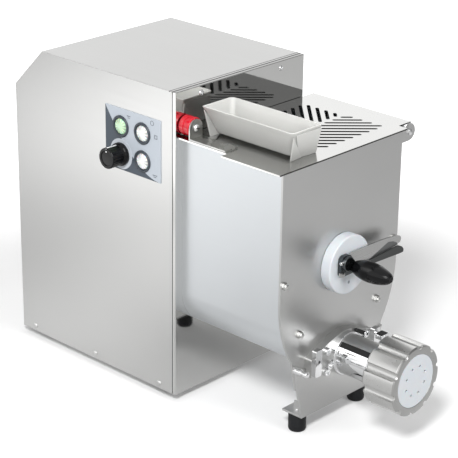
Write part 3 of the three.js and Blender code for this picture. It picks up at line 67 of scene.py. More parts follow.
def addCamera(spec):
    data = bpy.data.cameras.new("studio_camera")
    data.lens, data.sensor_width = spec["lens"], spec["sensor"]
    data.clip_start, data.clip_end = spec["clip"]
    turn, rise, roll = (math.radians(spec[k]) for k in ("azimuth", "elevation", "roll"))
    back = Vector((math.sin(turn) * math.cos(rise), -math.cos(turn) * math.cos(rise), math.sin(rise)))
    right = (-back).cross(Vector((0, 0, 1))).normalized()
    up = back.cross(right)
    rolledRight = right * math.cos(roll) + up * math.sin(roll)
    rolledUp = up * math.cos(roll) - right * math.sin(roll)
    matrix = Matrix((rolledRight, rolledUp, back)).transposed().to_4x4()
    matrix.translation = Vector(place(spec["place"]))
    item = bpy.data.objects.new("studio_camera", data)
    item.matrix_world = matrix
    scene.collection.objects.link(item)
    scene.camera = item


studio = {
    "floorHalf": 6.0, "floorLevel": -0.0004,  # metres
    # what the camera sees: white paper that keeps a grey shadow round the machine and glows further out
    "seenTone": 0.88, "seenGlow": 0.10, "farGlow": 0.9, "glowReach": (0.45, 1.1),
    # what polished steel sees of the paper, and what the paper throws back at pale surfaces
    "mirrorTone": 0.30, "mirrorGlow": 0.36, "bounce": 0.50,
    "spots": (
        # middle in millimetres, radius in metres, extra glow in reflections: painted light where above nought,
        # painted shade where below
        ((-215, 300), 0.30, 0.20),
        ((-540, 350), 0.30, 0.42),
        ((-950, 640), 0.45, 0.80),
        ((-1080, 850), 0.66, 1.60),
        ((150, -290), 0.16, 0.46),
        ((20, -130), 0.24, -0.17),
        ((-330, 60), 0.18, -0.24),
    ),
    # the room: an even fill for plain surfaces, a pale sky for polished ones; a patch of it is given by its
    # direction, the cosines at its outer and inner rim, and its tone; the roof's rim is given by two heights
    "fill": 0.36, "paleTone": 1.34,
    "darkSide": (0.62, -0.74, 0.25), "darkRim": (0.55, 0.95), "darkTone": 0.27,
    "roofRim": (0.56, 0.74), "roofTone": 0.80,
    "screen": (-0.33, 0.63, 0.70), "screenRim": (0.955, 0.975), "screenTone": 0.03,
    "softbox": (-0.70, -0.42, 0.57), "softboxRim": (0.94, 0.955), "softboxTone": 4.5,
    "lamps": (
        # name, place in metres, size, power
        ("lamp_left", (-1.45, -1.02, 1.75), 0.5, 46),
        ("lamp_front", (0.2, -2.2, 1.4), 1.0, 18),
        ("lamp_top", (-0.2, 0.2, 2.4), 1.2, 8),
    ),
    "lampAim": (0, 0, 0.2),
}


def feed(tree, socket, value):
    # an output is linked to the socket, anything else is its fixed value
    if isinstance(value, bpy.types.NodeSocket):
        tree.links.new(value, socket)
    else:
        socket.default_value = value


def mathNode(tree, operation, *values):
    node = tree.nodes.new("ShaderNodeMath")
    node.operation = operation
    for socket, value in zip(node.inputs, values):
        feed(tree, socket, value)
    return node.outputs[0]


def measured(tree, operation, vector, other=(0, 0, 0)):
    # the distance or dot product of two vectors, or the length of one
    node = tree.nodes.new("ShaderNodeVectorMath")
    node.operation = operation
    feed(tree, node.inputs[0], vector)
    feed(tree, node.inputs[1], other)
    return node.outputs["Value"]


def scaled(tree, color, value):
    node = tree.nodes.new("ShaderNodeVectorMath")
    node.operation = "SCALE"
    feed(tree, node.inputs[0], color)
    feed(tree, node.inputs["Scale"], value)
    return node.outputs[0]


def ramped(tree, value, fromLow, fromHigh, low, high, smooth=False):
    ramp = tree.nodes.new("ShaderNodeMapRange")
    if smooth:
        ramp.interpolation_type = "SMOOTHSTEP"
    for key, number in (("From Min", fromLow), ("From Max", fromHigh), ("To Min", low), ("To Max", high)):
        ramp.inputs[key].default_value = number
    tree.links.new(value, ramp.inputs["Value"])
    return ramp.outputs["Result"]


def mixed(tree, factor, low, high):
    mix = tree.nodes.new("ShaderNodeMix")
    for key, value in (("Factor", factor), ("A", low), ("B", high)):
        feed(tree, mix.inputs[key], value)
    return mix.outputs["Result"]


def coordinate(tree, kind="Object"):
    return tree.nodes.new("ShaderNodeTexCoord").outputs[kind]


def separated(tree, vector):
    split = tree.nodes.new("ShaderNodeSeparateXYZ")
    tree.links.new(vector, split.inputs[0])
    return split.outputs


def paperShader(tree, tone, glow):
    # diffuse paper that also glows a little
    paper = tree.nodes.new("ShaderNodeBsdfDiffuse")
    paper.inputs["Color"].default_value = (tone, tone, tone, 1)
    light = tree.nodes.new("ShaderNodeEmission")
    tree.links.new(glow, light.inputs["Strength"])
    both = tree.nodes.new("ShaderNodeAddShader")
    tree.links.new(paper.outputs[0], both.inputs[0])
    tree.links.new(light.outputs[0], both.inputs[1])
    return both.outputs[0]


def addFloor(spec):
    half, level = spec["floorHalf"], spec["floorLevel"]
    mesh = bpy.data.meshes.new("studio_floor")
    corners = [(-half, -half, level), (half, -half, level), (half, half, level), (-half, half, level)]
    mesh.from_pydata(corners, [], [(0, 1, 2, 3)])
    floor = bpy.data.objects.new("studio_floor", mesh)
    scene.collection.objects.link(floor)
    material = bpy.data.materials.new("paper_floor")
    material.use_nodes = True
    mesh.materials.append(material)
    tree = material.node_tree
    tree.nodes.clear()
    spot = coordinate(tree)
    rays = tree.nodes.new("ShaderNodeLightPath").outputs
    # glossy rays meet the spotted glow, plain ones an even bounce
    glow = spec["mirrorGlow"]
    for middle, radius, extra in spec["spots"]:
        away = measured(tree, "DISTANCE", spot, (*place((*middle, 0))[:2], level))
        glow = mathNode(tree, "ADD", glow, ramped(tree, away, 0.0, radius, extra, 0.0, True))
    glow = mathNode(tree, "SUBTRACT", glow, spec["bounce"])
    glow = mathNode(tree, "MULTIPLY_ADD", glow, rays["Is Glossy Ray"], spec["bounce"])
    away = measured(tree, "LENGTH", spot)
    seen = ramped(tree, away, *spec["glowReach"], spec["seenGlow"], spec["farGlow"], True)
    choice = tree.nodes.new("ShaderNodeMixShader")
    tree.links.new(rays["Is Camera Ray"], choice.inputs[0])
    tree.links.new(paperShader(tree, spec["mirrorTone"], glow), choice.inputs[1])
    tree.links.new(paperShader(tree, spec["seenTone"], seen), choice.inputs[2])
    tree.links.new(choice.outputs[0], tree.nodes.new("ShaderNodeOutputMaterial").inputs["Surface"])


def skyPatch(tree, direction, rim, outside, inside):
    # one value inside a cone about the direction, another outside it
    toward = measured(tree, "DOT_PRODUCT", coordinate(tree, "Generated"), Vector(direction).normalized())
    return ramped(tree, toward, *rim, outside, inside, True)


def addWorld(spec):
    world = bpy.data.worlds.new("studio_world")
    scene.world = world
    world.use_nodes = True
    tree = world.node_tree
    tree.nodes.clear()
    side = skyPatch(tree, spec["darkSide"], spec["darkRim"], spec["paleTone"], spec["darkTone"])
    height = separated(tree, coordinate(tree, "Generated"))["Z"]
    roof = ramped(tree, height, *spec["roofRim"], 1.0, spec["roofTone"], True)
    screen = skyPatch(tree, spec["screen"], spec["screenRim"], 1.0, spec["screenTone"])
    softbox = skyPatch(tree, spec["softbox"], spec["softboxRim"], 0.0, spec["softboxTone"])
    room = mathNode(tree, "MULTIPLY_ADD", side, mathNode(tree, "MULTIPLY", roof, screen), softbox)
    rays = tree.nodes.new("ShaderNodeLightPath").outputs
    mirrored = mathNode(tree, "MAXIMUM", rays["Is Glossy Ray"], rays["Is Transmission Ray"])
    lit = mixed(tree, mirrored, spec["fill"], room)
    ground = tree.nodes.new("ShaderNodeBackground")
    ground.inputs["Color"].default_value = (1, 1, 1, 1)
    tree.links.new(mixed(tree, rays["Is Camera Ray"], lit, 1.0), ground.inputs["Strength"])
    tree.links.new(ground.outputs[0], tree.nodes.new("ShaderNodeOutputWorld").inputs["Surface"])


def addLamps(spec):
    for name, where, size, power in spec["lamps"]:
        data = bpy.data.lights.new(name, "AREA")
        data.shape, data.size, data.energy = "DISK", size, power
        lamp = bpy.data.objects.new(name, data)
        lamp.location = where
        toward = Vector(spec["lampAim"]) - Vector(where)
        lamp.rotation_euler = toward.to_track_quat("-Z", "Y").to_euler()
        lamp.visible_glossy = False
        scene.collection.objects.link(lamp)


scene.view_settings.view_transform = "Standard"
addCamera(camera)
addFloor(studio)
addWorld(studio)
addLamps(studio)
print("stage ready")

# Materials


def newShader(name, color, roughness, metallic=0.0):
    material = bpy.data.materials.new(name)
    material.use_nodes = True
    tree = material.node_tree
    shader = tree.nodes["Principled BSDF"]
    shader.inputs["Base Color"].default_value = (*color, 1)
    shader.inputs["Roughness"].default_value = roughness
    shader.inputs["Metallic"].default_value = metallic
    return material, tree, shader


def noiseValue(tree, scale, low, high, detail):
    # noise on object coordinates stretched by scale; its middle range runs from low to high
    mapping = tree.nodes.new("ShaderNodeMapping")
    mapping.inputs["Scale"].default_value = scale
    texture = tree.nodes.new("ShaderNodeTexNoise")
    texture.inputs["Scale"].default_value = 1.0
    texture.inputs["Detail"].default_value = detail
    tree.links.new(coordinate(tree), mapping.inputs["Vector"])
    tree.links.new(mapping.outputs[0], texture.inputs["Vector"])
    return ramped(tree, texture.outputs["Fac"], 0.3, 0.7, low, high)


def darkened(tree, value, mask, tone):
    # value times the tone where the mask is 1
    loss = mathNode(tree, "MULTIPLY", mask, 1.0 - tone)
    return mathNode(tree, "MULTIPLY", value, mathNode(tree, "SUBTRACT", 1.0, loss))


def paintedSideShade(tree, value, cut):
    # painted shade: faces that look along one signed axis take the darker tone
    axis, sign, tone = cut
    normal = separated(tree, tree.nodes.new("ShaderNodeNewGeometry").outputs["Normal"])[axis]
    return darkened(tree, value, mathNode(tree, "GREATER_THAN", mathNode(tree, "MULTIPLY", normal, sign), 0.5), tone)


def paintedGapShade(tree, value, gapShade):
    # painted shade: a dark line across the sheet between two distances behind its front edge, above a level, for the
    # shaded gap and bend along that edge
    near, far, level, tone = gapShade
    spot = separated(tree, coordinate(tree))
    (_, near, level), (_, far, _) = place([(0, near, level), (0, far, level)])
    inside = mathNode(tree, "GREATER_THAN", spot["Z"], level)
    for operation, edge in (("GREATER_THAN", near), ("LESS_THAN", far)):
        inside = mathNode(tree, "MULTIPLY", inside, mathNode(tree, operation, spot["Y"], edge))
    return darkened(tree, value, inside, tone)


def bumped(tree, shader, value, distance):
    bump = tree.nodes.new("ShaderNodeBump")
    bump.inputs["Distance"].default_value = distance
    tree.links.new(value, bump.inputs["Height"])
    tree.links.new(bump.outputs[0], shader.inputs["Normal"])
    return bump


def brushedMetal(name, spec):
    # lines of grain along one axis, faint handling marks over them
    material, tree, shader = newShader(name, spec["color"], spec["rough"][0], 1.0)
    tree.links.new(noiseValue(tree, spec["grain"], *spec["rough"], 4.0), shader.inputs["Roughness"])
    tone = noiseValue(tree, (5, 5, 5), 1 - spec["vary"], 1.0, 2.0)
    # painted shade on the faces that look one way
    if "cut" in spec:
        tone = paintedSideShade(tree, tone, spec["cut"])
    # painted shade lines along the cover's front edge
    for gapShade in spec.get("joints", ()):
        tone = paintedGapShade(tree, tone, gapShade)
    tree.links.new(scaled(tree, spec["color"], tone), shader.inputs["Base Color"])
    bump = bumped(tree, shader, noiseValue(tree, spec["grain"], 0, 1, 4.0), spec["depth"])
    if "bend" in spec:
        bend = tree.nodes.new("ShaderNodeBevel")
        bend.samples = 6
        bend.inputs["Radius"].default_value = spec["bend"]
        tree.links.new(bend.outputs[0], bump.inputs["Normal"])
    return material


def polishedMetal(name, spec):
    # almost a mirror; the polish wanders a little and handling leaves a haze
    material, tree, shader = newShader(name, spec["color"], spec["rough"][0], 1.0)
    tree.links.new(noiseValue(tree, spec["haze"], *spec["rough"], 5.0), shader.inputs["Roughness"])
    tone = noiseValue(tree, (14, 14, 14), 0.96, 1.0, 3.0)
    # painted shade on the faces that look one way
    if "cut" in spec:
        tone = paintedSideShade(tree, tone, spec["cut"])
    tree.links.new(scaled(tree, spec["color"], tone), shader.inputs["Base Color"])
    bumped(tree, shader, noiseValue(tree, spec["wave"], 0, 1, 1.0), spec["depth"])
    return material


def mouldedPlastic(name, spec):
    # fine moulding grain, colour that drifts a little, and painted shade that darkens it where walls face each other
    material, tree, shader = newShader(name, spec["color"], spec["rough"][0])
    tree.links.new(noiseValue(tree, (60, 60, 60), *spec["rough"], 3.0), shader.inputs["Roughness"])
    tone = noiseValue(tree, (12, 12, 12), 1 - spec["vary"], 1.0, 3.0)
    if "hollow" in spec:
        # painted shade from ambient occlusion
        depth, darkest = spec["hollow"]
        openness = tree.nodes.new("ShaderNodeAmbientOcclusion")
        openness.samples = 12
        openness.inputs["Distance"].default_value = depth
        tone = mathNode(tree, "MULTIPLY", tone, ramped(tree, openness.outputs["AO"], 0.4, 0.92, darkest, 1.0))
    tree.links.new(scaled(tree, spec["color"], tone), shader.inputs["Base Color"])
    bumped(tree, shader, noiseValue(tree, (spec["grain"],) * 3, 0, 1, 2.0), spec["depth"])
    for key, value in spec.get("sockets", {}).items():
        shader.inputs[key].default_value = value
    return material


# colour, range of roughness, scale of the grain along x y z, drift of the tone, depth of the bump in metres;
# then the side shade: axis and side of the faces that take a tone of painted shade; the gap shades: from, to and
# level in millimetres, tone of painted shade lines;
# bend: radius of the folds in metres
# painted shade by facing: the cover's top faces and the nut's front faces are darkened
metals = {
    "coverSteel": {"color": (0.66, 0.66, 0.652), "rough": (0.30, 0.34), "grain": (1400, 5, 1400),
                   "vary": 0.035, "depth": 5e-7, "cut": ("Z", 1, 0.74), "bend": 0.0012,
                   # the two dark lines behind the cover's front edge are painted shade
                   "joints": ((0.0, 1.5, 429.0, 0.16), (4.2, 6.3, 429.0, 0.16))},
    "panelSteel": {"color": (0.60, 0.605, 0.60), "rough": (0.28, 0.36), "grain": (6, 1200, 1200),
                   "vary": 0.05, "depth": 1e-6},
    "tankSteel": {"color": (0.73, 0.755, 0.775), "rough": (0.38, 0.44), "grain": (900, 6, 900),
                  "vary": 0.04, "depth": 1e-6},
    "plateSteel": {"color": (0.60, 0.60, 0.595), "rough": (0.33, 0.38), "grain": (6, 900, 900),
                   "vary": 0.05, "depth": 1e-6},
    "flangeSteel": {"color": (0.62, 0.62, 0.61), "rough": (0.34, 0.42), "grain": (60, 60, 60),
                    "vary": 0.08, "depth": 3e-6},
    "nutSteel": {"color": (0.62, 0.62, 0.61), "rough": (0.27, 0.34), "grain": (500, 500, 500),
                 "vary": 0.07, "depth": 3e-6, "cut": ("Y", -1, 0.74)},
    "driveSteel": {"color": (0.10, 0.108, 0.112), "rough": (0.20, 0.32), "grain": (300, 300, 300),
                   "vary": 0.15, "depth": 5e-6},
    "leverSteel": {"color": (0.50, 0.50, 0.495), "rough": (0.26, 0.34), "grain": (6, 900, 900),
                   "vary": 0.08, "depth": 1e-6},
    # a darker copy of the lever's steel: painted shade on its prong and behind its notch
    "paintedShadeSteel": {"color": (0.20, 0.205, 0.205), "rough": (0.36, 0.46), "grain": (6, 900, 900),
                   "vary": 0.1, "depth": 1e-6},
    "castAlloy": {"color": (0.50, 0.51, 0.52), "rough": (0.45, 0.62), "grain": (350, 350, 350),
                  "vary": 0.14, "depth": 4e-5},
    "bearingBronze": {"color": (0.60, 0.40, 0.18), "rough": (0.25, 0.4), "grain": (300, 300, 300),
                      "vary": 0.12, "depth": 5e-6},
}
# haze: scale of the handling marks; wave: scale of the sheet's unevenness
polished = {
    # painted shade by facing: the polished panel's top edges and the lid's front edges are darkened
    "mirrorSteel": {"color": (0.70, 0.70, 0.69), "rough": (0.03, 0.06), "haze": (30, 30, 30),
                    "wave": (6, 6, 6), "depth": 3e-5, "cut": ("Z", 1, 0.42)},
    "lidSteel": {"color": (0.60, 0.60, 0.59), "rough": (0.10, 0.15), "haze": (30, 30, 30),
                 "wave": (5, 5, 5), "depth": 3e-5, "cut": ("Y", -1, 0.14)},
    "bracketSteel": {"color": (0.60, 0.60, 0.585), "rough": (0.24, 0.34), "haze": (40, 40, 40),
                     "wave": (30, 30, 30), "depth": 4e-5},
    "chrome": {"color": (0.80, 0.805, 0.81), "rough": (0.02, 0.05), "haze": (120, 120, 120),
               "wave": (90, 90, 90), "depth": 1e-5},
}
# grain: scale of the moulding grain; hollow: reach of the painted shade in metres and its darkest share
plastics = {
    "blackGloss": {"color": (0.003, 0.003, 0.0035), "rough": (0.09, 0.14), "vary": 0.2, "grain": 500,
                   "depth": 2e-6, "sockets": {"Specular IOR Level": 0.24}},
    "blackMatt": {"color": (0.012, 0.012, 0.013), "rough": (0.45, 0.6), "vary": 0.2, "grain": 900, "depth": 2e-5},
    "footRubber": {"color": (0.006, 0.0065, 0.008), "rough": (0.42, 0.55), "vary": 0.25, "grain": 700,
                   "depth": 2e-5, "sockets": {"Specular IOR Level": 0.35}},
    "slateRing": {"color": (0.035, 0.045, 0.058), "rough": (0.25, 0.36), "vary": 0.12, "grain": 800, "depth": 6e-6},
    # dark rubber for the bumper and the catch's pad, also used as painted shade in the panel's gap and along the
    # barrel's saddle
    "rubberAndPaintedShade": {"color": (0.02, 0.02, 0.02), "rough": (0.6, 0.7), "vary": 0.2, "grain": 900,
                   "depth": 4e-6, "sockets": {"Specular IOR Level": 0.2}},
    "greyPlastic": {"color": (0.23, 0.25, 0.27), "rough": (0.4, 0.55), "vary": 0.1, "grain": 700, "depth": 2e-5},
    "motorPaint": {"color": (0.10, 0.14, 0.18), "rough": (0.35, 0.48), "vary": 0.12, "grain": 250, "depth": 2e-5},
    "trayPlastic": {"color": (0.61, 0.61, 0.59), "rough": (0.36, 0.46), "vary": 0.03, "grain": 500,
                    # the hollow darkens the tray's inside as painted shade
                    "depth": 6e-6, "hollow": (0.045, 0.66),
                    "sockets": {"Subsurface Weight": 0.35, "Subsurface Scale": 0.004,
                                "Subsurface Radius": (1, 1, 0.95)}},
    "whitePlastic": {"color": (0.59, 0.62, 0.65), "rough": (0.34, 0.44), "vary": 0.03, "grain": 450,
                     "depth": 5e-6, "sockets": {"Subsurface Weight": 0.1, "Subsurface Scale": 0.003}},
    "redPlastic": {"color": (0.60, 0.002, 0.016), "rough": (0.10, 0.16), "vary": 0.1, "grain": 400,
                   "depth": 2e-6, "sockets": {"Coat Weight": 0.5, "Coat Roughness": 0.05}},
    "dialFilm": {"color": (0.56, 0.60, 0.65), "rough": (0.35, 0.45), "vary": 0.03, "grain": 900, "depth": 3e-6},
    "printGrey": {"color": (0.16, 0.18, 0.21), "rough": (0.4, 0.5), "vary": 0.05, "grain": 900, "depth": 2e-6},
    "printWhite": {"color": (0.74, 0.75, 0.76), "rough": (0.35, 0.45), "vary": 0.04, "grain": 900, "depth": 2e-6},
}
finish = {}
for make, specs in ((brushedMetal, metals), (polishedMetal, polished), (mouldedPlastic, plastics)):
    finish.update({name: make(name, spec) for name, spec in specs.items()})

lenses = {
    # colour of the lens, and the painted glow of its middle
    "greenLens": {"color": (0.34, 0.60, 0.36), "core": (0.66, 0.92, 0.62)},
    "whiteLens": {"color": (0.62, 0.63, 0.64), "core": (0.96, 0.96, 0.95)},
}


def lensPlastic(name, spec):
    # a translucent faceted cap: painted highlights on the facets round a painted glow in its bright middle, where its
    # lamp sits, and painted shade towards its rim;
    # tone = 0.86 + 0.42 sin(5 turns) sin(8 turns), faded out towards the middle
    color, core = spec["color"], spec["core"]
    material, tree, shader = newShader(name, color, 0.14)
    uv = tree.nodes.new("ShaderNodeUVMap")
    uv.uv_map = "turn"
    turn, outward, _ = separated(tree, uv.outputs[0])
    # painted glow in the middle, darkening to painted shade at the rim
    ramp = tree.nodes.new("ShaderNodeValToRGB")
    stops = ramp.color_ramp.elements
    stops[0].color = (*core, 1)
    stops[1].position, stops[1].color = 0.52, (*(0.55 * c for c in color), 1)
    for at, tint in ((0.20, core), (0.34, color)):
        stops.new(at).color = (*tint, 1)
    tree.links.new(outward, ramp.inputs[0])
    # painted highlights on the facets
    waves = [mathNode(tree, "SINE", mathNode(tree, "MULTIPLY", turn, 2 * math.pi * count)) for count in (5, 8)]
    fade = ramped(tree, outward, 0.06, 0.25, 0.0, 0.42, True)
    facetReliefAndLight = mathNode(tree, "MULTIPLY_ADD", mathNode(tree, "MULTIPLY", *waves), fade, 0.86)
    tree.links.new(scaled(tree, ramp.outputs[0], facetReliefAndLight), shader.inputs["Base Color"])
    shader.inputs["Coat Weight"].default_value = 0.5
    shader.inputs["Subsurface Weight"].default_value = 0.2
    shader.inputs["Subsurface Scale"].default_value = 0.002
    bumped(tree, shader, facetReliefAndLight, 1.5e-4)
    return material


finish.update({name: lensPlastic(name, spec) for name, spec in lenses.items()})

fascia = {"width": 104.0, "height": 85.5, "rear": 124.3, "top": 386.05, "bend": 1.9,
          "pale": (0.50, 0.545, 0.60), "dark": (0.050, 0.068, 0.090)}


def fasciaFilm(spec):
    # u runs from the rear edge to the front, v from the top down; dark where v > 1 - (1 - u) ^ bend
    material, tree, shader = newShader("fasciaFilm", spec["pale"], 0.36)
    spot = separated(tree, coordinate(tree))
    _, rear, top = place((0, spec["rear"], spec["top"]))
    u = mathNode(tree, "DIVIDE", mathNode(tree, "SUBTRACT", rear, spot["Y"]), spec["width"] / 1000)
    v = mathNode(tree, "DIVIDE", mathNode(tree, "SUBTRACT", top, spot["Z"]), spec["height"] / 1000)
    rest = mathNode(tree, "MAXIMUM", mathNode(tree, "SUBTRACT", 1.0, u), 0.0)
    curve = mathNode(tree, "SUBTRACT", 1.0, mathNode(tree, "POWER", rest, spec["bend"]))
    mix = tree.nodes.new("ShaderNodeMix")
    mix.data_type = "RGBA"
    mix.inputs["A"].default_value = (*spec["pale"], 1)
    mix.inputs["B"].default_value = (*spec["dark"], 1)
    tree.links.new(mathNode(tree, "GREATER_THAN", v, curve), mix.inputs["Factor"])
    tree.links.new(mix.outputs["Result"], shader.inputs["Base Color"])
    bumped(tree, shader, noiseValue(tree, (1500, 1500, 1500), 0, 1, 2.0), 5e-6)
    return material


finish["fasciaFilm"] = fasciaFilm(fascia)

# the frame's own solids that keep their shape
nodeFinish = {
    "coverSteel": ["cover_shell"],
    "mirrorSteel": ["front_panel"],
    "lidSteel": ["lid"],
    "bracketSteel": ["magnet_bracket"],
    "panelSteel": ["rear_panel", "base_plate", "lid_hinge_sleeve"],
    "tankSteel": ["mixing_paddle", "auger_screw"],
    "plateSteel": ["tank_front_plate", "front_leg"],
    "driveSteel": ["auger_drive_shaft", "mixer_drive_shaft"],
    "castAlloy": ["gearbox_case", "reducer_case"],
    "bearingBronze": ["auger_bearing", "mixer_bearing"],
    "chrome": ["hinge_rod"],
    "blackMatt": ["cable_gland", "motor_fan"],
    "greyPlastic": ["contact_carrier", "selector_switch", "control_plate", "interlock_sensor"],
    "motorPaint": ["motor_body", "fan_cover"],
    "fasciaFilm": ["control_fascia"],
}
for key, names in nodeFinish.items():
    for name in names:
        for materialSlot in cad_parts[name].material_slots:
            materialSlot.material = finish[key]

# width of the rounded bends on two folded sheets, whose loose triangles are welded first
bends = {"front_panel": 0.9, "front_leg": 0.6}
for name, width in bends.items():
    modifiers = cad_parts[name].modifiers
    modifiers.new("weld", "WELD").merge_threshold = 1e-6
    edge = modifiers.new("bend", "BEVEL")
    edge.width, edge.segments, edge.limit_method = width / 1000, 3, "ANGLE"
    edge.angle_limit = math.radians(50)
    even = modifiers.new("even", "WEIGHTED_NORMAL")
    even.weight, even.keep_sharp = 50, False
print("materials ready")

# Shared shape functions

# heights of the mixer's and the auger's line, and the face of the tank's front plate
mixerHeight, augerHeight, plateFront = 215.6, 89.6, -185.0


def filleted(points, radius, steps=4, closed=False):
    # each corner p between a and b becomes the curve (1-s)^2 (p + u t) + 2 s (1-s) p + s^2 (p + w t),
    # with t no more than half of either side
    points = np.asarray(points, float)
    count = len(points)
    radii = np.broadcast_to(radius, count)
    share = np.linspace(0, 1, steps + 1)[:, None]
    done = []
    for i in range(count):
        if not closed and i in (0, count - 1):
            done.append(points[i : i + 1])
            continue
        before, corner, after = points[i - 1], points[i], points[(i + 1) % count]
        u, w = before - corner, after - corner
        lengthU, lengthW = np.linalg.norm(u), np.linalg.norm(w)
        u, w = u / lengthU, w / lengthW
        half = 0.5 * math.acos(float(np.clip(u @ w, -1, 1)))
        if radii[i] <= 0 or half > 1.56:
            done.append(corner[None])
            continue
        reach = min(radii[i] / max(math.tan(half), 1e-6), 0.48 * lengthU, 0.48 * lengthW)
        start, end = corner + u * reach, corner + w * reach
        done.append((1 - share) ** 2 * start + 2 * share * (1 - share) * corner + share**2 * end)
    return np.concatenate(done)


def rod(radius, start, end):
    # profile of a plain round bar
    return [(0, start), (radius, start), (radius, end), (0, end)]


def rectangle(left, right, low, high):
    return np.array([(left, low), (right, low), (right, high), (left, high)])


def circle(centre, radius, count=48):
    angle = np.linspace(0, 2 * math.pi, count, endpoint=False)
    return np.stack((centre[0] + radius * np.cos(angle), centre[1] + radius * np.sin(angle)), -1)


def turned(profile, axis, centre, segments=72, start=0.0):
    # (r, a) goes to centre + r cos t, centre + r sin t across the axis and a along it
    profile = np.asarray(profile, float)
    angle = start + np.linspace(0, 2 * math.pi, segments, endpoint=False)[:, None]
    radius, along = profile[None, :, 0], profile[None, :, 1]
    first = centre[0] + radius * np.cos(angle)
    second = centre[1] + radius * np.sin(angle)
    along = np.broadcast_to(along, first.shape)
    order = {"x": (along, first, second), "y": (first, along, second), "z": (first, second, along)}
    return np.stack(order[axis], -1)


def gridFaces(rows, columns, closeRows, closeColumns, first=0):
    # quads between neighbours of a rows by columns grid
    i = np.arange(rows if closeRows else rows - 1)[:, None]
    j = np.arange(columns if closeColumns else columns - 1)[None]
    nextI, nextJ = (i + 1) % rows, (j + 1) % columns
    corners = (i * columns + j, nextI * columns + j, nextI * columns + nextJ, i * columns + nextJ)
    return (np.stack(np.broadcast_arrays(*corners), -1).reshape(-1, 4) + first).tolist()


def finishPiece(name, mesh, body, material, replaced=(), sharp=35.0, bevel=0.0):
    bm = bmesh.new()
    bm.from_mesh(mesh)
    bmesh.ops.remove_doubles(bm, verts=bm.verts, dist=1e-7)
    bmesh.ops.dissolve_degenerate(bm, edges=bm.edges, dist=1e-8)
    bmesh.ops.recalc_face_normals(bm, faces=bm.faces)
    bm.to_mesh(mesh)
    bm.free()
    mesh.polygons.foreach_set("use_smooth", np.ones(len(mesh.polygons), bool))
    mesh.set_sharp_from_angle(angle=math.radians(sharp))
    mesh.materials.append(finish[material])
    piece = bpy.data.objects.new(name, mesh)
    scene.collection.objects.link(piece)
    if bevel:
        edge = piece.modifiers.new("soft_edge", "BEVEL")
        edge.width, edge.segments, edge.limit_method = bevel / 1000, 2, "ANGLE"
        edge.angle_limit, edge.harden_normals = math.radians(40), True
    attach(piece, body)
    if replaced:
        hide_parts(*replaced)


def gridPiece(name, grids, body, material, replaced=(), closeColumns=False, sharp=35.0):
    # one mesh of several grids, each closed round its rows; UV: turn round the rows, share of the way along
    points, faces, first, turns = [], [], 0, []
    for grid in grids:
        rows, columns = grid.shape[:2]
        points.append(grid.reshape(-1, 3))
        faces += gridFaces(rows, columns, True, closeColumns, first)
        first += rows * columns
        steps = np.linalg.norm(np.diff(grid[0], axis=0), axis=1)
        along = np.concatenate(([0], np.cumsum(steps))) / max(steps.sum(), 1e-9)
        turn = np.arange(rows)[:, None] / rows
        turns.append(np.stack(np.broadcast_arrays(turn, along[None]), -1).reshape(-1, 2))
    mesh = bpy.data.meshes.new(name)
    mesh.from_pydata(place(np.concatenate(points)).tolist(), [], faces)
    layer = mesh.uv_layers.new(name="turn")
    corner = np.zeros(len(mesh.loops), int)
    mesh.loops.foreach_get("vertex_index", corner)
    layer.data.foreach_set("uv", np.concatenate(turns)[corner].ravel())
    finishPiece(name, mesh, body, material, replaced, sharp)


def plateMesh(outlines, low, high, axis):
    # flat outlines, the later ones holes, filled and carried from low to high along the axis
    curve = bpy.data.curves.new("outline", "CURVE")
    curve.dimensions, curve.fill_mode, curve.extrude = "2D", "BOTH", (high - low) / 2
    for outline in outlines:
        outline = np.asarray(outline, float)
        spline = curve.splines.new("POLY")
        spline.points.add(len(outline) - 1)
        spline.points.foreach_set("co", np.c_[outline, np.zeros(len(outline)), np.ones(len(outline))].ravel())
        spline.use_cyclic_u = True
    holder = bpy.data.objects.new("outline", curve)
    scene.collection.objects.link(holder)
    bpy.context.view_layer.update()
    flat = bpy.data.meshes.new_from_object(holder.evaluated_get(bpy.context.evaluated_depsgraph_get()))
    bpy.data.objects.remove(holder)
    bpy.data.curves.remove(curve)
    points = np.zeros(len(flat.vertices) * 3)
    flat.vertices.foreach_get("co", points)
    u, v, w = points.reshape(-1, 3).T
    middle = (low + high) / 2
    order = {"x": (w + middle, u, v), "y": (u, middle - w, v), "z": (u, v, w + middle)}
    faces = [tuple(polygon.vertices) for polygon in flat.polygons]
    bpy.data.meshes.remove(flat)
    return np.stack(order[axis], -1), faces


def platePiece(name, plates, body, material, replaced=(), bevel=0.3, sharp=35.0):
    # one mesh of several plates: outlines, low, high, axis
    points, faces, first = [], [], 0
    for plate in plates:
        corners, polygons = plateMesh(*plate)
        points.append(corners)
        faces += [tuple(i + first for i in polygon) for polygon in polygons]
        first += len(corners)
    mesh = bpy.data.meshes.new(name)
    mesh.from_pydata(place(np.concatenate(points)).tolist(), [], faces)
    finishPiece(name, mesh, body, material, replaced, sharp, bevel)


def hullPiece(name, corners, body, material, replaced=(), bevel=0.3):
    # the smallest convex solid round the corners
    shape = bmesh.new()
    for corner in place(corners):
        shape.verts.new(corner)
    bmesh.ops.convex_hull(shape, input=shape.verts)
    mesh = bpy.data.meshes.new(name)
    shape.to_mesh(mesh)
    shape.free()
    finishPiece(name, mesh, body, material, replaced, 20.0, bevel)


# Tank, leg tab, feet and dome nuts

tank = {
    "half": 110.4, "sheet": 2.0, "top": 367.6, "corner": 60.0, "cornerHeight": 152.0, "channel": 27.0,
    "front": -182.0, "back": -6.0,
    # radii of the holes for the mixer's and the auger's line
    "frontHoles": (36, 23), "backHoles": (9.3, 9.3),
    # the ear that carries the hinge rod
    "earReach": 131.4, "earHeight": 360.6, "earRadius": 6.8, "earHole": 4.3,
}


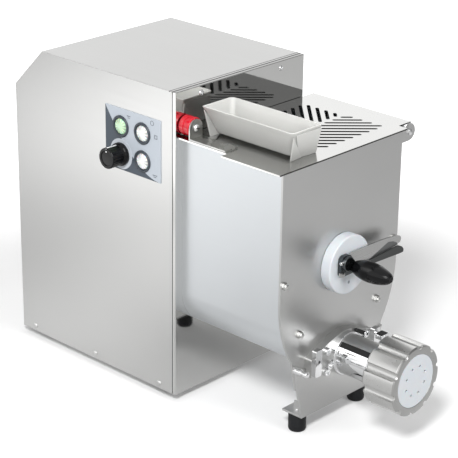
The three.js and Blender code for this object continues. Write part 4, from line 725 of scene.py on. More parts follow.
def troughLine(spec, inset, steps=24):
    # half the trough: wall down, round the corner, straight to the channel, round to its lowest point; then mirrored
    cx, cz = spec["half"] - spec["corner"], spec["cornerHeight"]
    run = math.hypot(cx, cz - augerHeight)
    tangent = math.atan2(augerHeight - cz, -cx) + math.acos((spec["corner"] - spec["channel"]) / run)
    bend = np.linspace(0, tangent, steps)
    dip = np.linspace(tangent, -math.pi / 2, steps)
    radius = spec["corner"] - inset
    corner = np.stack((cx + radius * np.cos(bend), cz + radius * np.sin(bend)), -1)
    channel = (spec["channel"] - inset) * np.stack((np.cos(dip), np.sin(dip)), -1) + (0, augerHeight)
    half = np.concatenate(([[spec["half"] - inset, spec["top"]]], corner, channel))
    return np.concatenate((half, (half * (-1, 1))[-2::-1]))


def addTrough(spec):
    # a closed loop, along the outer line and back along the inner one, carried from front to back
    front, back = spec["front"], spec["back"]
    outer, inner = troughLine(spec, 0), troughLine(spec, spec["sheet"])
    loop = np.concatenate((outer, inner[::-1]))
    stations = (front, front + 0.2, back - 0.2, back)
    grid = np.stack([np.stack((loop[:, 0], np.full(len(loop), y), loop[:, 1]), -1) for y in stations], 1)
    rows, columns = grid.shape[:2]
    faces = gridFaces(rows, columns, True, False)
    # the sheet's edge at each end: quads from the outer line across to the inner one
    step = np.arange(len(outer) - 1)
    across = np.stack((step, step + 1, rows - 2 - step, rows - 1 - step), -1) * columns
    for column in (0, columns - 1):
        faces += (across + column).tolist()
    mesh = bpy.data.meshes.new("tank_trough")
    mesh.from_pydata(place(grid.reshape(-1, 3)).tolist(), [], faces)
    finishPiece("tank_trough", mesh, "housing", "tankSteel", ("tank_body",), 50.0)


def addEndWalls(spec):
    front, back, sheet, reach = spec["front"], spec["back"], spec["sheet"], spec["earReach"]
    wall = troughLine(spec, sheet + 0.05)
    heights = (mixerHeight, augerHeight)
    frontHoles, backHoles = ([circle((0, height), radius) for height, radius in zip(heights, spec[key])]
                             for key in ("frontHoles", "backHoles"))
    # the ear: half a circle round the hinge rod, joined to the rear wall
    bend = np.linspace(-math.pi / 2, math.pi / 2, 24)[:, None]
    height, radius, root = spec["earHeight"], spec["earRadius"], spec["half"] - 1.0
    tip = (reach, height) + radius * np.concatenate((np.cos(bend), np.sin(bend)), 1)
    ear = np.concatenate(([(root, height - radius)], tip, [(root, height + radius)]))
    ends = [([wall, *frontHoles], front + 0.02, front + sheet, "y"),
            ([wall, *backHoles], back - sheet, back - 0.02, "y"),
            ([ear, circle((reach, height), spec["earHole"], 32)], back - sheet, back - 0.02, "y")]
    platePiece("tank_end_walls", ends, "housing", "tankSteel", ("tank_body",), bevel=0)


addTrough(tank)
addEndWalls(tank)

# the short return on the front leg's left edge, narrower at its top, with its screw
legTab = {"bottom": (-71.9, 17.1), "top": (-74.9, 39.0), "front": -184.8, "depth": 10.5, "taper": 2.5, "thick": 1.6,
          "screw": (-180.2, 24.5), "screwFace": -72.5}


def addLegTab(spec):
    near, far = spec["front"], spec["front"] + spec["depth"]
    (xLow, zLow), (xHigh, zHigh) = spec["bottom"], spec["top"]
    outer = np.array([(xLow, near, zLow), (xLow, far, zLow), (xHigh, far - spec["taper"], zHigh),
                      (xHigh, near, zHigh)])
    hullPiece("front_leg_tab", np.concatenate((outer, outer + (spec["thick"], 0, 0))), "housing", "plateSteel",
              bevel=0.4)
    head = np.array([(0, -1.7), (2.1, -1.7), (2.6, -0.8), (2.6, 0.6), (0, 0.6)]) + (0, spec["screwFace"])
    profile = filleted(head, (0, 0.6, 0.4, 0, 0), 3)
    gridPiece("front_leg_tab_screw", [turned(profile, "x", spec["screw"], 24)], "housing", "chrome")


addLegTab(legTab)

feet = {
    "places": {
        # x, y and height of the top
        "housing_foot_front_left": (-93.25, 30.0, 1.0), "housing_foot_front_right": (93.25, 30.0, 1.0),
        "housing_foot_rear_left": (-93.25, 278.5, 1.0), "housing_foot_rear_right": (93.25, 278.5, 1.0),
        "front_foot_left": (-60.5, -171.0, 14.0), "front_foot_right": (60.5, -171.0, 14.0),
    },
    "radius": 12.0, "floor": -11.0,
}


def addFeet(spec):
    floor, radius = spec["floor"], spec["radius"]
    for name, (x, y, top) in spec["places"].items():
        outline = [(0, floor), (radius - 1.2, floor), (radius, floor + 3), (radius, top), (0, top)]
        profile = filleted(outline, (0, 1.2, 1.5, 0.5, 0), 4)
        gridPiece(name + "_rubber", [turned(profile, "z", (x, y))], "housing", "footRubber", (name,))


addFeet(feet)

domeNuts = {
    "places": {
        "dome_nut_upper_right": (110.3, 215.6), "dome_nut_upper_left": (-110.3, 215.6),
        "dome_nut_lower_right": (77.99, 137.61), "dome_nut_lower_left": (-77.99, 137.61),
    },
    "radius": 5.2, "height": 7.0, "hex": 3.4, "dome": 0.82,
}


def addDomeNuts(spec):
    # a thin washer, a hexagon and a quarter circle turned to a dome
    radius, height, hexDeep = (spec[k] for k in ("radius", "height", "hex"))
    face, domeRadius = plateFront, spec["dome"] * radius
    swing = np.linspace(math.pi / 2, 0, 14)
    dome = np.stack((domeRadius * np.cos(swing), face - hexDeep - (height - hexDeep) * np.sin(swing)), -1)
    cap = np.concatenate((dome, [(domeRadius, face - 0.4), (0, face - 0.4)]))
    collar = [(0, face), (0, face - hexDeep), (radius, face - hexDeep), (radius, face), (0, face)]
    washer = filleted(rod(radius * 1.02, face, face - 0.7), (0, 0.1, 0.2, 0))
    for name, spot in spec["places"].items():
        grids = [turned(cap, "y", spot, 36), turned(collar, "y", spot, 6), turned(washer, "y", spot, 36)]
        gridPiece(name + "_cap", grids, "housing", "bracketSteel", (name,), sharp=30)


addDomeNuts(domeNuts)
print("tank ready")

# Mixer's front end: bearing disc, grip, lever hub, lever

disc = {"radius": 40.2, "front": -200.3, "back": -185.3, "round": 2.2, "pit": (-1.0, 191.6), "pitRadius": 2.2}


def addDisc(spec):
    front = spec["front"]
    profile = filleted(rod(spec["radius"], front, spec["back"]), (0, spec["round"], 0.6, 0), 8)
    gridPiece("bearing_disc_face", [turned(profile, "y", (0, mixerHeight), 128)], "housing", "whitePlastic",
              ("bearing_disc",))
    # painted shade: a grey dot where the face has its dimple
    pit = rod(spec["pitRadius"], front - 0.06, front + 0.44)
    gridPiece("bearing_disc_dimple_shade", [turned(pit, "y", spec["pit"], 24)], "housing", "greyPlastic")


addDisc(disc)

grip = {"rear": -206.9, "length": 61.0, "radius": 13.6, "neck": 5.4, "tip": 5.8, "fullest": 0.90, "belly": 0.66}


def addGrip(spec):
    # r(s) = base + (radius - base) sin(pi s^fullest)^belly, base running from neck to tip; hollow end face
    rear, length, tip = spec["rear"], spec["length"], spec["tip"]
    end = rear - length
    share = np.linspace(0, 1, 48)
    base = spec["neck"] + (tip - spec["neck"]) * share
    swell = np.sin(math.pi * share ** spec["fullest"]) ** spec["belly"]
    side = np.stack((base + (spec["radius"] - base) * swell, rear - (length - 1.5) * share), -1)
    hollow = [(tip - 0.4, end + 1.0), (tip - 1.6, end), (2.6, end), (2.2, end + 0.8), (0, end + 0.8)]
    profile = np.concatenate(([(0, rear)], side, filleted(hollow, (0, 0.8, 0.3, 0.2, 0), 3)))
    gridPiece("oval_grip_body", [turned(profile, "y", (0, mixerHeight))], "grip", "blackGloss", ("oval_grip",))


addGrip(grip)

hub = {
    "outline": [(-25.0, 206.6), (7.0, 206.6), (7.0, 217.0), (-8.0, 234.6), (-25.0, 234.6)],
    "round": (5, 4, 4, 8, 9), "front": -206.6, "back": -200.6,
    "boss": (-14.5, 224.0), "bossRadius": 10.0, "bossFront": -211.5,
    "spindle": 4.0, "spindleShare": 0.8,  # radius, and how far into the grip
    "pin": (-208.4, 227.6), "pinRadius": 2.2, "pinEnds": (-29.0, -17.5),
    "foot": [(-29.5, 208.6), (-19.0, 206.8), (-18.5, 212.0), (-29.5, 214.6)], "footDepth": (-208.2, -206.4),
}


def addHub(spec):
    outline = filleted(spec["outline"], spec["round"], 6, closed=True)
    platePiece("lever_hub_block", [([outline], spec["front"], spec["back"], "y")], "lock_lever", "driveSteel",
               ("lever_hub",), bevel=1.4)
    root = spec["front"] + 1
    boss = filleted(rod(spec["bossRadius"], spec["bossFront"], root), (0, 1.6, 0, 0), 5)
    spindle = rod(spec["spindle"], grip["rear"] - spec["spindleShare"] * grip["length"] + 0.3, root)
    gridPiece("lever_hub_boss", [turned(boss, "y", spec["boss"], 48), turned(spindle, "y", (0, mixerHeight), 32)],
              "lock_lever", "driveSteel", ("lever_hub",))
    pin = filleted(rod(spec["pinRadius"], *spec["pinEnds"]), (0, 0.7, 0.7, 0), 4)
    gridPiece("lever_hub_pin", [turned(pin, "x", spec["pin"], 24)], "lock_lever", "chrome")
    foot = filleted(spec["foot"], 1.2, 3, closed=True)
    platePiece("lever_hub_foot", [([foot], *spec["footDepth"], "y")], "lock_lever", "nutSteel", bevel=0.4)


addHub(hub)

lever = {
    "web": [(-8.0, 234.6), (60.0, 233.4), (90.0, 231.0), (99.5, 228.0), (102.0, 223.4), (99.6, 218.8), (95.7, 218.6),
            (84.6, 224.3), (74.5, 226.6), (35.0, 213.4), (30.0, 209.8), (0.0, 209.8)],
    "webRound": (6.0, 30, 4, 3, 3, 2, 1.5, 3, 3, 3, 3, 0.8),
    "webFront": -203.4, "sheet": 1.7,
    # the dark sheet behind the blade's notch: painted shadow of the plate seen through it
    "inner": [(28.0, 211.2), (78.0, 227.4), (94.0, 222.0), (97.0, 216.0), (40.0, 209.6)],
    "prong": [(33.0, 213.2), (96.0, 215.4), (101.5, 212.6), (102.6, 209.6), (100.0, 206.9), (94.0, 206.6),
              (33.0, 208.6)],
    "prongRound": (1.5, 3, 2, 2, 2, 3, 1.5),
    "prongFront": -205.0, "lean": 0.62, "leanFrom": 214.0,
    "fold": [(7.8, 213.0), (34.0, 213.0), (34.0, 209.4), (7.8, 209.8)],
}


def addLever(spec):
    # an upper blade and a lower prong of one folded sheet; the prong leans forward as it goes down; the prong and a
    # dark sheet behind the blade's notch take a darker steel as painted shade
    front, sheet, prongFront = spec["webFront"], spec["sheet"], spec["prongFront"]
    blade = filleted(spec["web"], spec["webRound"], 5, closed=True)
    platePiece("locking_lever_blade", [([blade], front, front + sheet, "y")], "lock_lever", "leverSteel",
               ("locking_lever",), bevel=0.5)
    # painted shadow: a dark sheet behind the notch stands for the shaded plate seen through it
    platePiece("locking_lever_notch_shade", [([spec["inner"]], front + sheet - 0.2, front + sheet + 0.7, "y")],
               "lock_lever", "paintedShadeSteel", ("locking_lever",), bevel=0)
    # the prong takes the darker steel as painted shade
    prong = filleted(spec["prong"], spec["prongRound"], 4, closed=True)
    points, faces = plateMesh([prong], prongFront, prongFront + sheet, "y")
    points[:, 1] -= spec["lean"] * (spec["leanFrom"] - points[:, 2])
    mesh = bpy.data.meshes.new("locking_lever_prong")
    mesh.from_pydata(place(points).tolist(), [], faces)
    finishPiece("locking_lever_prong", mesh, "lock_lever", "paintedShadeSteel", ("locking_lever",), bevel=0.5)
    platePiece("locking_lever_fold", [([spec["fold"]], prongFront - 2.6, front + 0.2, "y")], "lock_lever",
               "plateSteel", ("locking_lever",), bevel=0.6)


addLever(lever)
print("mixer end ready")

# Controls on the left side

controls = {
    "face": -124.25, "middle": (72.3, 343.3),
    # columns and rows from the middle
    "rear": 22.3, "front": -18.4, "upper": 18.0, "lower": -20.5,
    "buttons": {
        "start": ("rear", "upper", "greenLens"),
        "stop": ("front", "upper", "whiteLens"),
        "mode": ("front", "lower", "whiteLens"),
    },
    # radius and distance inwards from the face
    "ring": [(11.3, 3.0), (11.3, -1.6), (12.4, -2.2), (14.0, -2.2), (15.0, -1.2), (15.0, 0), (13.0, 0), (13.0, 21),
             (8.5, 21), (8.5, 6.0), (11.3, 6.0)],
    "cap": [(0, -2.3), (4.0, -2.25), (8.0, -1.9), (10.2, -1.2), (11.0, -0.2), (11.0, 1.7), (8.2, 1.7), (8.2, 16.7),
            (0, 16.7)],
    "capRound": (0, 2, 2, 1.5, 0.5, 0.2, 0.2, 0.4, 0),
}
faceX = controls["face"]


def controlSpot(column, row):
    return controls["middle"][0] + controls[column], controls["middle"][1] + controls[row]


def addButtons(spec):
    ring = filleted(np.array(spec["ring"]) + (0, faceX), 0.4, 3, closed=True)
    cap = filleted(np.array(spec["cap"]) + (0, faceX), spec["capRound"], 4)
    for key, (column, row, lens) in spec["buttons"].items():
        spot = controlSpot(column, row)
        gridPiece(key + "_bezel_ring", [turned(ring, "x", spot)], "housing", "slateRing", (key + "_bezel",),
                  closeColumns=True)
        gridPiece(key + "_button_cap", [turned(cap, "x", spot)], key + "_push", lens, (key + "_button",))


addButtons(controls)

knob = {"base": 16.0, "end": 14.4, "length": 27.0, "back": -124.55, "ribs": 30, "ribDeep": 0.55, "spindle": 3.0,
        "spindleEnd": -107.6, "dial": 21.0, "dialHole": 3.4, "dialThick": 0.28, "markHalf": 1.1}


def ribbedKnob(spec, centre, segments=360):
    # r(t, a) = profile r - depth (1 - cos(ribs t)) / 2, the depth fading out towards base and end face
    back, front = spec["back"], spec["back"] - spec["length"]
    base, end = spec["base"], spec["end"]
    line = [(0, back), (base, back), (base, back - 4.5), (base - 1.2, back - 6), (end - 0.3, back - 8),
            (end, front + 1.0), (end - 1.2, front), (end - 4.0, front), (end - 4.6, front + 1.4), (0, front + 1.4)]
    profile = filleted(line, (0, 0.6, 1.0, 1.2, 1.5, 1.0, 0.8, 0.3, 0.3, 0), 5)
    # more rows along the grip's side, where the ribs are
    stretch = np.linspace(0, 1, 12)[1:-1, None]
    side = int(np.argmax(profile[:, 1] < back - 8.2))
    rows = profile[side - 1] + (profile[side] - profile[side - 1]) * stretch
    profile = np.concatenate((profile[:side], rows, profile[side:]))
    radius, along = profile[:, 0], profile[:, 1]
    fade = np.clip((back - 7.5 - along) / 2.0, 0, 1) * np.clip((along - front - 0.4) / 1.6, 0, 1) * (radius > end - 3)
    angle = np.linspace(0, 2 * math.pi, segments, endpoint=False)[:, None]
    lower = spec["ribDeep"] * 0.5 * (1 - np.cos(spec["ribs"] * angle)) * fade[None]
    first = centre[0] + (radius[None] - lower) * np.cos(angle)
    second = centre[1] + (radius[None] - lower) * np.sin(angle)
    return np.stack((np.broadcast_to(along, first.shape), first, second), -1)


def addKnob(spec):
    spot = controlSpot("rear", "lower")
    back, front, half = spec["back"], spec["back"] - spec["length"], spec["markHalf"]
    spindle = rod(spec["spindle"], back - 1, spec["spindleEnd"])
    gridPiece("selector_knob_body", [ribbedKnob(spec, spot), turned(spindle, "x", spot, 32)], "selector",
              "blackGloss", ("selector_knob",))
    # the mark runs over the end face and down the side
    marks = [([rectangle(-half, half, 8.6, 13.4) + spot], front, front + 0.5, "x"),
             ([rectangle(-half, half, 14.1, 14.7) + spot], front + 1.5, back - 9, "x")]
    platePiece("selector_knob_mark", marks, "selector", "printWhite", ("selector_knob",), bevel=0)
    hole, dial, front = spec["dialHole"], spec["dial"], faceX - spec["dialThick"]
    line = [(hole, faceX), (dial, faceX), (dial, front), (hole, front)]
    gridPiece("selector_dial_print", [turned(line, "x", spot)], "housing", "dialFilm", closeColumns=True)


addKnob(knob)

# generic signs on the fascia: strokes, a ring and an open square beside the controls
signs = {
    "rise": 0.16,
    "bars": [(79.5, 378.6, 6.4, 1.1), (79.5, 376.2, 4.0, 0.9), (31.0, 308.9, 8.0, 1.1), (31.0, 306.6, 5.0, 0.9),
             (104.0, 304.5, 5.0, 1.0)],  # y, z, width, height
    "rings": [(36.0, 379.6, 3.4, 0.8)],  # y, z, radius, stroke
    "squares": [(29.1, 362.0, 5.4, 0.9)],  # y, z, side, stroke
}


def addSigns(spec):
    unit = rectangle(-0.5, 0.5, -0.5, 0.5)
    shapes = [[unit * (wide, tall) + (y, z)] for y, z, wide, tall in spec["bars"]]
    shapes += [[circle((y, z), radius, 40), circle((y, z), radius - stroke, 40)]
               for y, z, radius, stroke in spec["rings"]]
    shapes += [[unit * side + (y, z), unit * (side - 2 * stroke) + (y, z)] for y, z, side, stroke in spec["squares"]]
    plates = [(shape, faceX - spec["rise"], faceX + 0.02, "x") for shape in shapes]
    platePiece("fascia_signs", plates, "housing", "printGrey", bevel=0)


addSigns(signs)
print("controls ready")

# Magnet and its screw, front panel's screws and seam

magnet = {"place": (-107.0, 385.0), "front": -24.5, "back": -7.5, "radius": 12.95, "groove": 1.2}


def addMagnet(spec):
    spot, front, back, radius = (spec[k] for k in ("place", "front", "back", "radius"))
    inner = radius - spec["groove"]
    line = [(0, front), (radius, front), (radius, front + 8), (inner, front + 8.6), (inner, front + 9.4),
            (radius, front + 10), (radius, back), (0, back)]
    profile = filleted(line, (0, 1.2, 0.3, 0.2, 0.2, 0.3, 1.0, 0), 4)
    gridPiece("magnet_cap", [turned(profile, "y", spot, 64)], "lid_panel", "redPlastic", ("interlock_magnet",))
    head = [(0, front - 6.3), (3.6, front - 5.6), (5.0, front - 3.6), (5.0, front - 2.6), (2.0, front - 2.6),
            (2.0, front + 5), (0, front + 5)]
    profile = filleted(head, (0, 1, 0.8, 0.2, 0.1, 0.1, 0), 4)
    gridPiece("magnet_screw_head", [turned(profile, "y", spot, 32)], "lid_panel", "chrome", ("magnet_screw",))


addMagnet(magnet)

# pan-head screws with a round socket
panelScrews = {
    "places": {"panel_screw_left": (-76.5, 420.0), "panel_screw_right": (76.5, 420.0)},
    "head": [(1.9, -7.7), (2.8, -7.6), (3.7, -6.9), (4.0, -6.0), (2.0, -6.0), (2.0, 1.9), (0, 1.9)],
    "round": (0.2, 0.6, 0.6, 0.1, 0.1, 0.2, 0),
    "socket": [(1.9, -7.7), (1.7, -6.6), (0, -6.6)],
}


def addPanelScrews(spec):
    head = filleted(spec["head"], spec["round"], 3)
    for name, spot in spec["places"].items():
        grids = [turned(profile, "y", spot, 48) for profile in (head, spec["socket"])]
        gridPiece(name + "_head", grids, "housing", "chrome", (name,))


addPanelScrews(panelScrews)

# a dark strip between the cover's front edge and the polished panel: painted shadow in the gap there
panelShadeGap = {"half": 123.3, "low": -0.05, "high": 430.02, "thick": 2.2, "front": -1.1, "back": 0.02, "corner": 1.5}


def addPanelShadeGap(spec):
    half, low, high, thick = spec["half"], spec["low"], spec["high"], spec["thick"]
    rim = filleted(rectangle(-half, half, low, high), spec["corner"], 4, closed=True)
    hole = rectangle(thick - half, half - thick, low + thick, high - thick)
    # a dark strip as painted shadow in the gap
    platePiece("panel_shade_gap", [([rim, hole], spec["front"], spec["back"], "y")], "housing", "rubberAndPaintedShade", bevel=0)


addPanelShadeGap(panelShadeGap)
print("panel ready")

# Extruder: barrel, flange, clamps, nut and die

barrel = {
    "bore": 23.0, "neck": 27.0, "head": 41.0, "headFront": -303.0, "headRear": -263.0,
    "collar": 30.0, "collarFront": -205.0, "spigot": 26.7, "spigotEnd": -182.0,
    "flangeFront": -197.0, "earHalf": 66.0, "earRise": 10.0, "earDrop": 15.0,
    "crown": 32.0, "crownShare": 1.45, "sole": (30.0, -28.0),
}


def flangeLine(spec, steps=16):
    # sole, ear, then the crown z = ear + (crown - ear) (1 - s^power), s the distance from the middle over the
    # half width
    share = np.linspace(1, 0, steps)
    rise = spec["earRise"] + (spec["crown"] - spec["earRise"]) * (1 - share ** spec["crownShare"])
    side = [spec["sole"], (spec["earHalf"], -spec["earDrop"])]
    half = np.concatenate((side, np.stack((spec["earHalf"] * share, rise), -1)))
    both = np.concatenate((half, (half * (-1, 1))[-2::-1])) + (0, augerHeight)
    corners = np.full(len(both), 1.0)
    corners[[0, -1]], corners[[1, -2]], corners[[2, -3]] = 6.0, 3.0, 4.0
    return filleted(both, corners, 4, closed=True)


def addBarrel(spec):
    neck, head, collar, bore, spigot = (spec[k] for k in ("neck", "head", "collar", "bore", "spigot"))
    collarFront, seat, end = spec["collarFront"], spec["flangeFront"] + 0.02, spec["spigotEnd"]
    line = [(bore, spec["headFront"]), (head, spec["headFront"]), (head, spec["headRear"]), (neck, spec["headRear"]),
            (neck, collarFront), (collar - 1.0, collarFront), (collar, collarFront + 1.0), (collar, seat),
            (spigot, seat), (spigot, end), (bore, end)]
    profile = filleted(line, (0.4, 1.0, 1.5, 2.0, 1.0, 1.2, 1.2, 0.1, 0.1, 0.4, 0.2), 5, closed=True)
    gridPiece("barrel_tube", [turned(profile, "y", (0, augerHeight), 128)], "housing", "chrome",
              ("extruder_barrel",), closeColumns=True)
    outlines = [flangeLine(spec), circle((0, augerHeight), spigot + 0.05, 72)]
    platePiece("barrel_flange", [(outlines, spec["flangeFront"], plateFront - 0.02, "y")], "housing",
               "flangeSteel", ("extruder_barrel",), bevel=0.8)


addBarrel(barrel)

# the barrel's upper saddle of brushed steel and a black strip along its lower edge, painted shade in the gap under
# it; spans in degrees from the top
saddle = {"inner": 26.5, "front": -262.5, "back": -205.1,
          "outer": 27.7, "span": (-88, 33), "shadeOuter": 27.25, "shadeSpan": (33, 50)}


def sector(inner, outer, span, steps):
    # x = -r sin t, z = height + r cos t: out along one radius and back along the other
    angle = np.radians(np.linspace(*span, steps))[:, None]
    arc = np.concatenate((-np.sin(angle), np.cos(angle)), 1)
    return np.concatenate((outer * arc, inner * arc[::-1])) + (0, augerHeight)


def addSaddle(spec):
    ends = spec["front"], spec["back"], "y"
    steel = sector(spec["inner"], spec["outer"], spec["span"], 48)
    platePiece("barrel_saddle", [([steel], *ends)], "housing", "plateSteel", bevel=0.2, sharp=30)
    # painted shade: a black strip under the saddle's lower edge
    shadeStrip = sector(spec["inner"], spec["shadeOuter"], spec["shadeSpan"], 16)
    platePiece("barrel_saddle_shade", [([shadeStrip], *ends)], "housing", "rubberAndPaintedShade", bevel=0, sharp=30)


addSaddle(saddle)

# places are from the auger's line
fixings = {
    "bolts": [(-39.0, -15.0), (-39.0, 15.0), (39.0, -15.0), (39.0, 15.0)], "boltFront": -203.0, "boltRadius": 5.2,
    "socket": 2.6, "seat": -196.9,
    "nuts": [(-34.1, -6.0), (34.1, 7.0)], "nutRadius": 6.4, "nutFront": -203.6, "nutTurn": 0.3,
    "studRadius": 2.4, "studFront": -206.4,
}


def addFixings(spec):
    # socket-head cap screws: outside profile, then the socket going back into the head
    front, radius, socket, seat = (spec[k] for k in ("boltFront", "boltRadius", "socket", "seat"))
    outside = filleted([(socket, front), (radius, front), (radius, seat), (0, seat)], (0.2, 0.7, 0, 0), 4)
    inside = [(socket, front), (socket - 0.2, front + 2.8), (0, front + 2.8)]
    grids = []
    for x, z in spec["bolts"]:
        grids += [turned(profile, "y", (x, augerHeight + z), 32) for profile in (outside, inside)]
    gridPiece("flange_bolts", grids, "housing", "chrome", ("extruder_barrel",), sharp=28)
    # pressure nuts, each with its stud's end
    front, radius = spec["nutFront"], spec["nutRadius"]
    hexNut = [(2.2, front), (radius - 0.8, front), (radius, front + 0.8), (radius, seat), (0, seat)]
    hexNut = filleted(hexNut, (0.1, 0.3, 0.3, 0, 0), 3)
    stud, tip = spec["studRadius"], spec["studFront"]
    studLine = [(0, tip), (stud - 0.6, tip), (stud, tip + 0.6), (stud, front + 0.2), (0, front + 0.2)]
    studLine = filleted(studLine, (0, 0.3, 0.3, 0, 0), 3)
    grids = []
    for x, z in spec["nuts"]:
        spot = (x, augerHeight + z)
        grids += [turned(hexNut, "y", spot, 6, spec["nutTurn"]), turned(studLine, "y", spot, 24)]
    gridPiece("flange_pressure_nuts", grids, "housing", "chrome", ("extruder_barrel",), sharp=28)


addFixings(fixings)

clamp = {"half": (6.2, 19.0), "middle": (59.6, 95.6), "rightDrop": 8.0, "front": -204.0, "back": -197.02,
         "round": 3, "hole": 2.0, "holeShift": (1.0, 2.0)}


def addClamps(spec):
    halfX, halfZ = spec["half"]
    for side, name in ((-1, "clamp_block_left"), (1, "clamp_block_right")):
        x, z = side * spec["middle"][0], spec["middle"][1]
        top = z + halfZ - (spec["rightDrop"] if side > 0 else 0)
        outline = filleted(rectangle(x - halfX, x + halfX, z - halfZ, top), spec["round"], 5, closed=True)
        pinHole = circle((x + spec["holeShift"][0], z + spec["holeShift"][1]), spec["hole"], 24)
        platePiece(name + "_plate", [([outline, pinHole], spec["front"], spec["back"], "y")], "housing", "chrome",
                   (name,), bevel=1.2)


addClamps(clamp)

# the swing catch that stands in front of the right clamp: stem, block and a dark pad on it
catch = {
    "stem": (58.0, 99.5), "stemLine": [(0, -219.5), (2.4, -219.5), (3.0, -218.6), (3.0, -203.8), (0, -203.8)],
    "block": (50.0, 66.0, 95.5, 102.6), "pad": (50.4, 63.6, 102.2, 103.5), "front": -219.0, "back": -208.5,
}


def addCatch(spec):
    front, back = spec["front"], spec["back"]
    stem = filleted(spec["stemLine"], (0, 0.4, 0.6, 0, 0), 3)
    gridPiece("clamp_catch_stem", [turned(stem, "y", spec["stem"], 32)], "housing", "chrome")
    block = filleted(rectangle(*spec["block"]), 1.6, 4, closed=True)
    platePiece("clamp_catch_block", [([block], front, back, "y")], "housing", "chrome", bevel=0.8)
    pad = filleted(rectangle(*spec["pad"]), 0.5, 3, closed=True)
    platePiece("clamp_catch_pad", [([pad], front + 0.4, back - 0.2, "y")], "housing", "rubberAndPaintedShade", bevel=0)


addCatch(catch)

# a rubber bumper on the flange, and a waisted stud on the plate beside the flange's left ear
bumper = {"outline": [(19.0, 113.0), (37.0, 103.0), (39.5, 107.5), (21.5, 117.5)], "front": -202.0, "back": -197.0}
plateStud = {
    "place": (-85.0, 89.0),
    "line": [(0, -207.5), (3.4, -207.5), (4.3, -206.4), (4.3, -202.0), (2.7, -200.6), (2.7, -197.4), (4.2, -196.2),
             (4.2, -184.9), (0, -184.9)],
    "round": (0, 1.0, 0.8, 0.5, 0.8, 0.8, 0.5, 0, 0),
}
bumperOutline = filleted(bumper["outline"], 1.5, 4, closed=True)
platePiece("flange_bumper", [([bumperOutline], bumper["front"], bumper["back"], "y")], "housing", "rubberAndPaintedShade",
           bevel=0.5)
studProfile = filleted(plateStud["line"], plateStud["round"], 4)
gridPiece("plate_stud", [turned(studProfile, "y", plateStud["place"], 40)], "housing", "chrome")

nut = {"face": -315.6, "length": 50.0, "outer": 48.0, "opening": 36.4, "bore": 41.3, "lip": 4.0,
       "lobes": 10, "shift": 0.194, "groove": 5.0, "grooveWidth": 12.0, "start": -1.0, "scallop": 0.7}


def nutSurface(spec, segments=480):
    # r(t, y) = profile r - scallop cos^6 - groove * round notch; each notch starts in a half circle just ahead of
    # the face and runs out at the back
    face, back, outer, opening = spec["face"], spec["face"] + spec["length"], spec["outer"], spec["opening"]
    outside = np.concatenate((np.linspace(face + 1.8, face + 14, 34), np.linspace(face + 15, back - 2, 14)))
    line = [(opening, face), (outer - 2.0, face), *[(outer, y) for y in outside], (outer - 1.5, back),
            (spec["bore"], back), (spec["bore"], face + spec["lip"]), (opening, face + spec["lip"])]
    radii = [0.5, 1.2, 1.2] + [0] * (len(outside) - 2) + [1.0, 0.6, 0.4, 0.4, 0.4]
    profile = filleted(line, radii, 4, closed=True)
    grid = turned(profile, "y", (0, 0), segments)
    radius, y = profile[:, 0], profile[:, 1]
    near = radius > outer - 6
    phase = (np.arange(segments) / segments * spec["lobes"] + spec["shift"]) % 1.0 - 0.5
    half = spec["grooveWidth"] / 2
    across = phase * 2 * math.pi * outer / spec["lobes"] / half
    ahead = np.clip((spec["start"] + half - (y - face)) / half, 0, 4)
    reach = np.sqrt(across[:, None] ** 2 + ahead[None] ** 2)
    notch = np.sqrt(np.clip(1 - reach**2, 0, 1)) ** 0.7
    dip = spec["scallop"] * np.cos(math.pi * phase)[:, None] ** 6 * near[None]
    lower = dip + (spec["groove"] - spec["scallop"]) * notch * near[None]
    scale = (radius[None] - lower) / np.maximum(radius, 1)[None]
    grid[..., 0] *= scale
    grid[..., 2] *= scale
    grid[..., 2] += augerHeight
    return grid


gridPiece("ring_nut_body", [nutSurface(nut)], "nut", "nutSteel", ("ring_nut",), closeColumns=True, sharp=32)

die = {"face": -315.2, "radius": 36.1, "shoulder": -311.3, "seat": 40.7, "back": -303.3,
       "holes": 8, "circle": 20.0, "hole": 2.0, "bore": 0.8}


def addDie(spec):
    # a face plate and a wider seat behind it; the holes are stepped, wide in the face and narrow in the seat
    turn = (np.arange(spec["holes"]) + 0.5) * 2 * math.pi / spec["holes"]
    middles = np.stack((spec["circle"] * np.cos(turn), augerHeight + spec["circle"] * np.sin(turn)), -1)
    plates = []
    for radius, hole, low, high in ((spec["radius"], spec["hole"], spec["face"], spec["shoulder"]),
                                    (spec["seat"], spec["bore"], spec["shoulder"] + 0.02, spec["back"])):
        rim = circle((0, augerHeight), radius, 96)
        plates.append(([rim, *(circle(middle, hole, 20) for middle in middles)], low, high, "y"))
    platePiece("die_face", plates, "die", "whitePlastic", ("die_disc",), bevel=0.35)


addDie(die)
print("extruder ready")

# Feeding tray

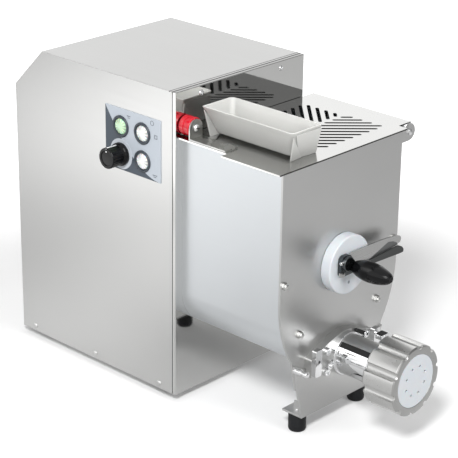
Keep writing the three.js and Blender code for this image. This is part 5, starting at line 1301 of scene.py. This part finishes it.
tray = {
    "centre": (-64.7, -100.0), "half": (26.6, 75.6), "taper": (12.2, 10.6),
    "floor": 373.2, "top": 410.0, "wall": 1.7, "flare": 1.3,
    # corner radii front right, rear right, rear left, front left: at the rim and at the floor
    "rimCorners": (0.8, 7.0, 0.8, 5.0), "floorCorners": (8.0, 10.0, 8.0, 9.0),
    # the fins that carry it: rim end, foot on the lid and inner end on the lid
    "fins": {
        "front_left": ((-90.0, -177.2, 404.5), (-85.3, -168.6, 370.15), (-64.0, -167.4, 370.15)),
        "front_right": ((-37.4, -176.6, 405.5), (-37.2, -168.3, 370.15), (-68.0, -166.0, 370.15),
                        (-84.0, -175.8, 405.5)),
        "rear_left": ((-90.0, -22.8, 404.5), (-86.6, -31.0, 370.15), (-65.0, -34.0, 370.15)),
        "rear_right": ((-41.0, -23.4, 405.5), (-38.6, -31.3, 370.15), (-74.0, -33.4, 370.15),
                       (-86.0, -24.2, 405.5)),
    },
    "finThick": 1.9,
}


def addTray(spec):
    # a rounded rectangle whose half sizes, corners and height follow one line: out along the floor, round and up
    # the wall, over the lip, down inside
    cx, cy = spec["centre"]
    halfX, halfY = spec["half"]
    taperX, taperY = spec["taper"]
    wall, flare, floor, top = (spec[k] for k in ("wall", "flare", "floor", "top"))
    # columns: share of the taper, thickness taken off, height
    line = [(1.7, 0, floor), (1.0, 0, floor), (0.18, 0, top - 8.0), (0.0, -flare, top - 0.5), (0.0, 0.5 - flare, top),
            (0.0, wall - flare, top), (0.18, wall, top - 8.0), (1.0, wall, floor + wall), (1.7, wall, floor + wall)]
    # the share is stretched to about its size in millimetres while the corners are rounded
    stretch = (20, 1, 1)
    curve = filleted(np.array(line) * stretch, (0, 9.0, 14.0, 0.4, 0.3, 0.4, 14.0, 7.0, 0), 7) / stretch
    rimCorners, floorCorners = np.array(spec["rimCorners"]), np.array(spec["floorCorners"])
    rings = []
    for share, less, z in curve:
        corners = rimCorners + (floorCorners - rimCorners) * min(max(share * 1.4, 0.0), 1.0)
        x, y = halfX - taperX * share - less, halfY - taperY * share - less
        ring = filleted([(x, -y), (x, y), (-x, y), (-x, -y)], np.maximum(corners, 0.3), 8, closed=True)
        rings.append(np.c_[ring + (cx, cy), np.full(len(ring), z)])
    under = np.tile((cx, cy, floor), (len(rings[0]), 1))
    grid = np.stack([under, *rings, under + (0, 0, wall)], 1)
    gridPiece("feeder_tray_shell", [grid], "tray", "trayPlastic", ("feeder_tray",), sharp=50)


def addTrayFins(spec):
    # thin flat webs that stand proud of the end walls and end on the lid
    for name, corners in spec["fins"].items():
        corners = np.array(corners)
        inward = spec["finThick"] if corners[0, 1] < spec["centre"][1] else -spec["finThick"]
        hullPiece("tray_fin_" + name, np.concatenate((corners, corners + (0, inward, 0))), "tray", "trayPlastic",
                  ("feeder_tray",))


addTray(tray)
addTrayFins(tray)
print("tray ready")
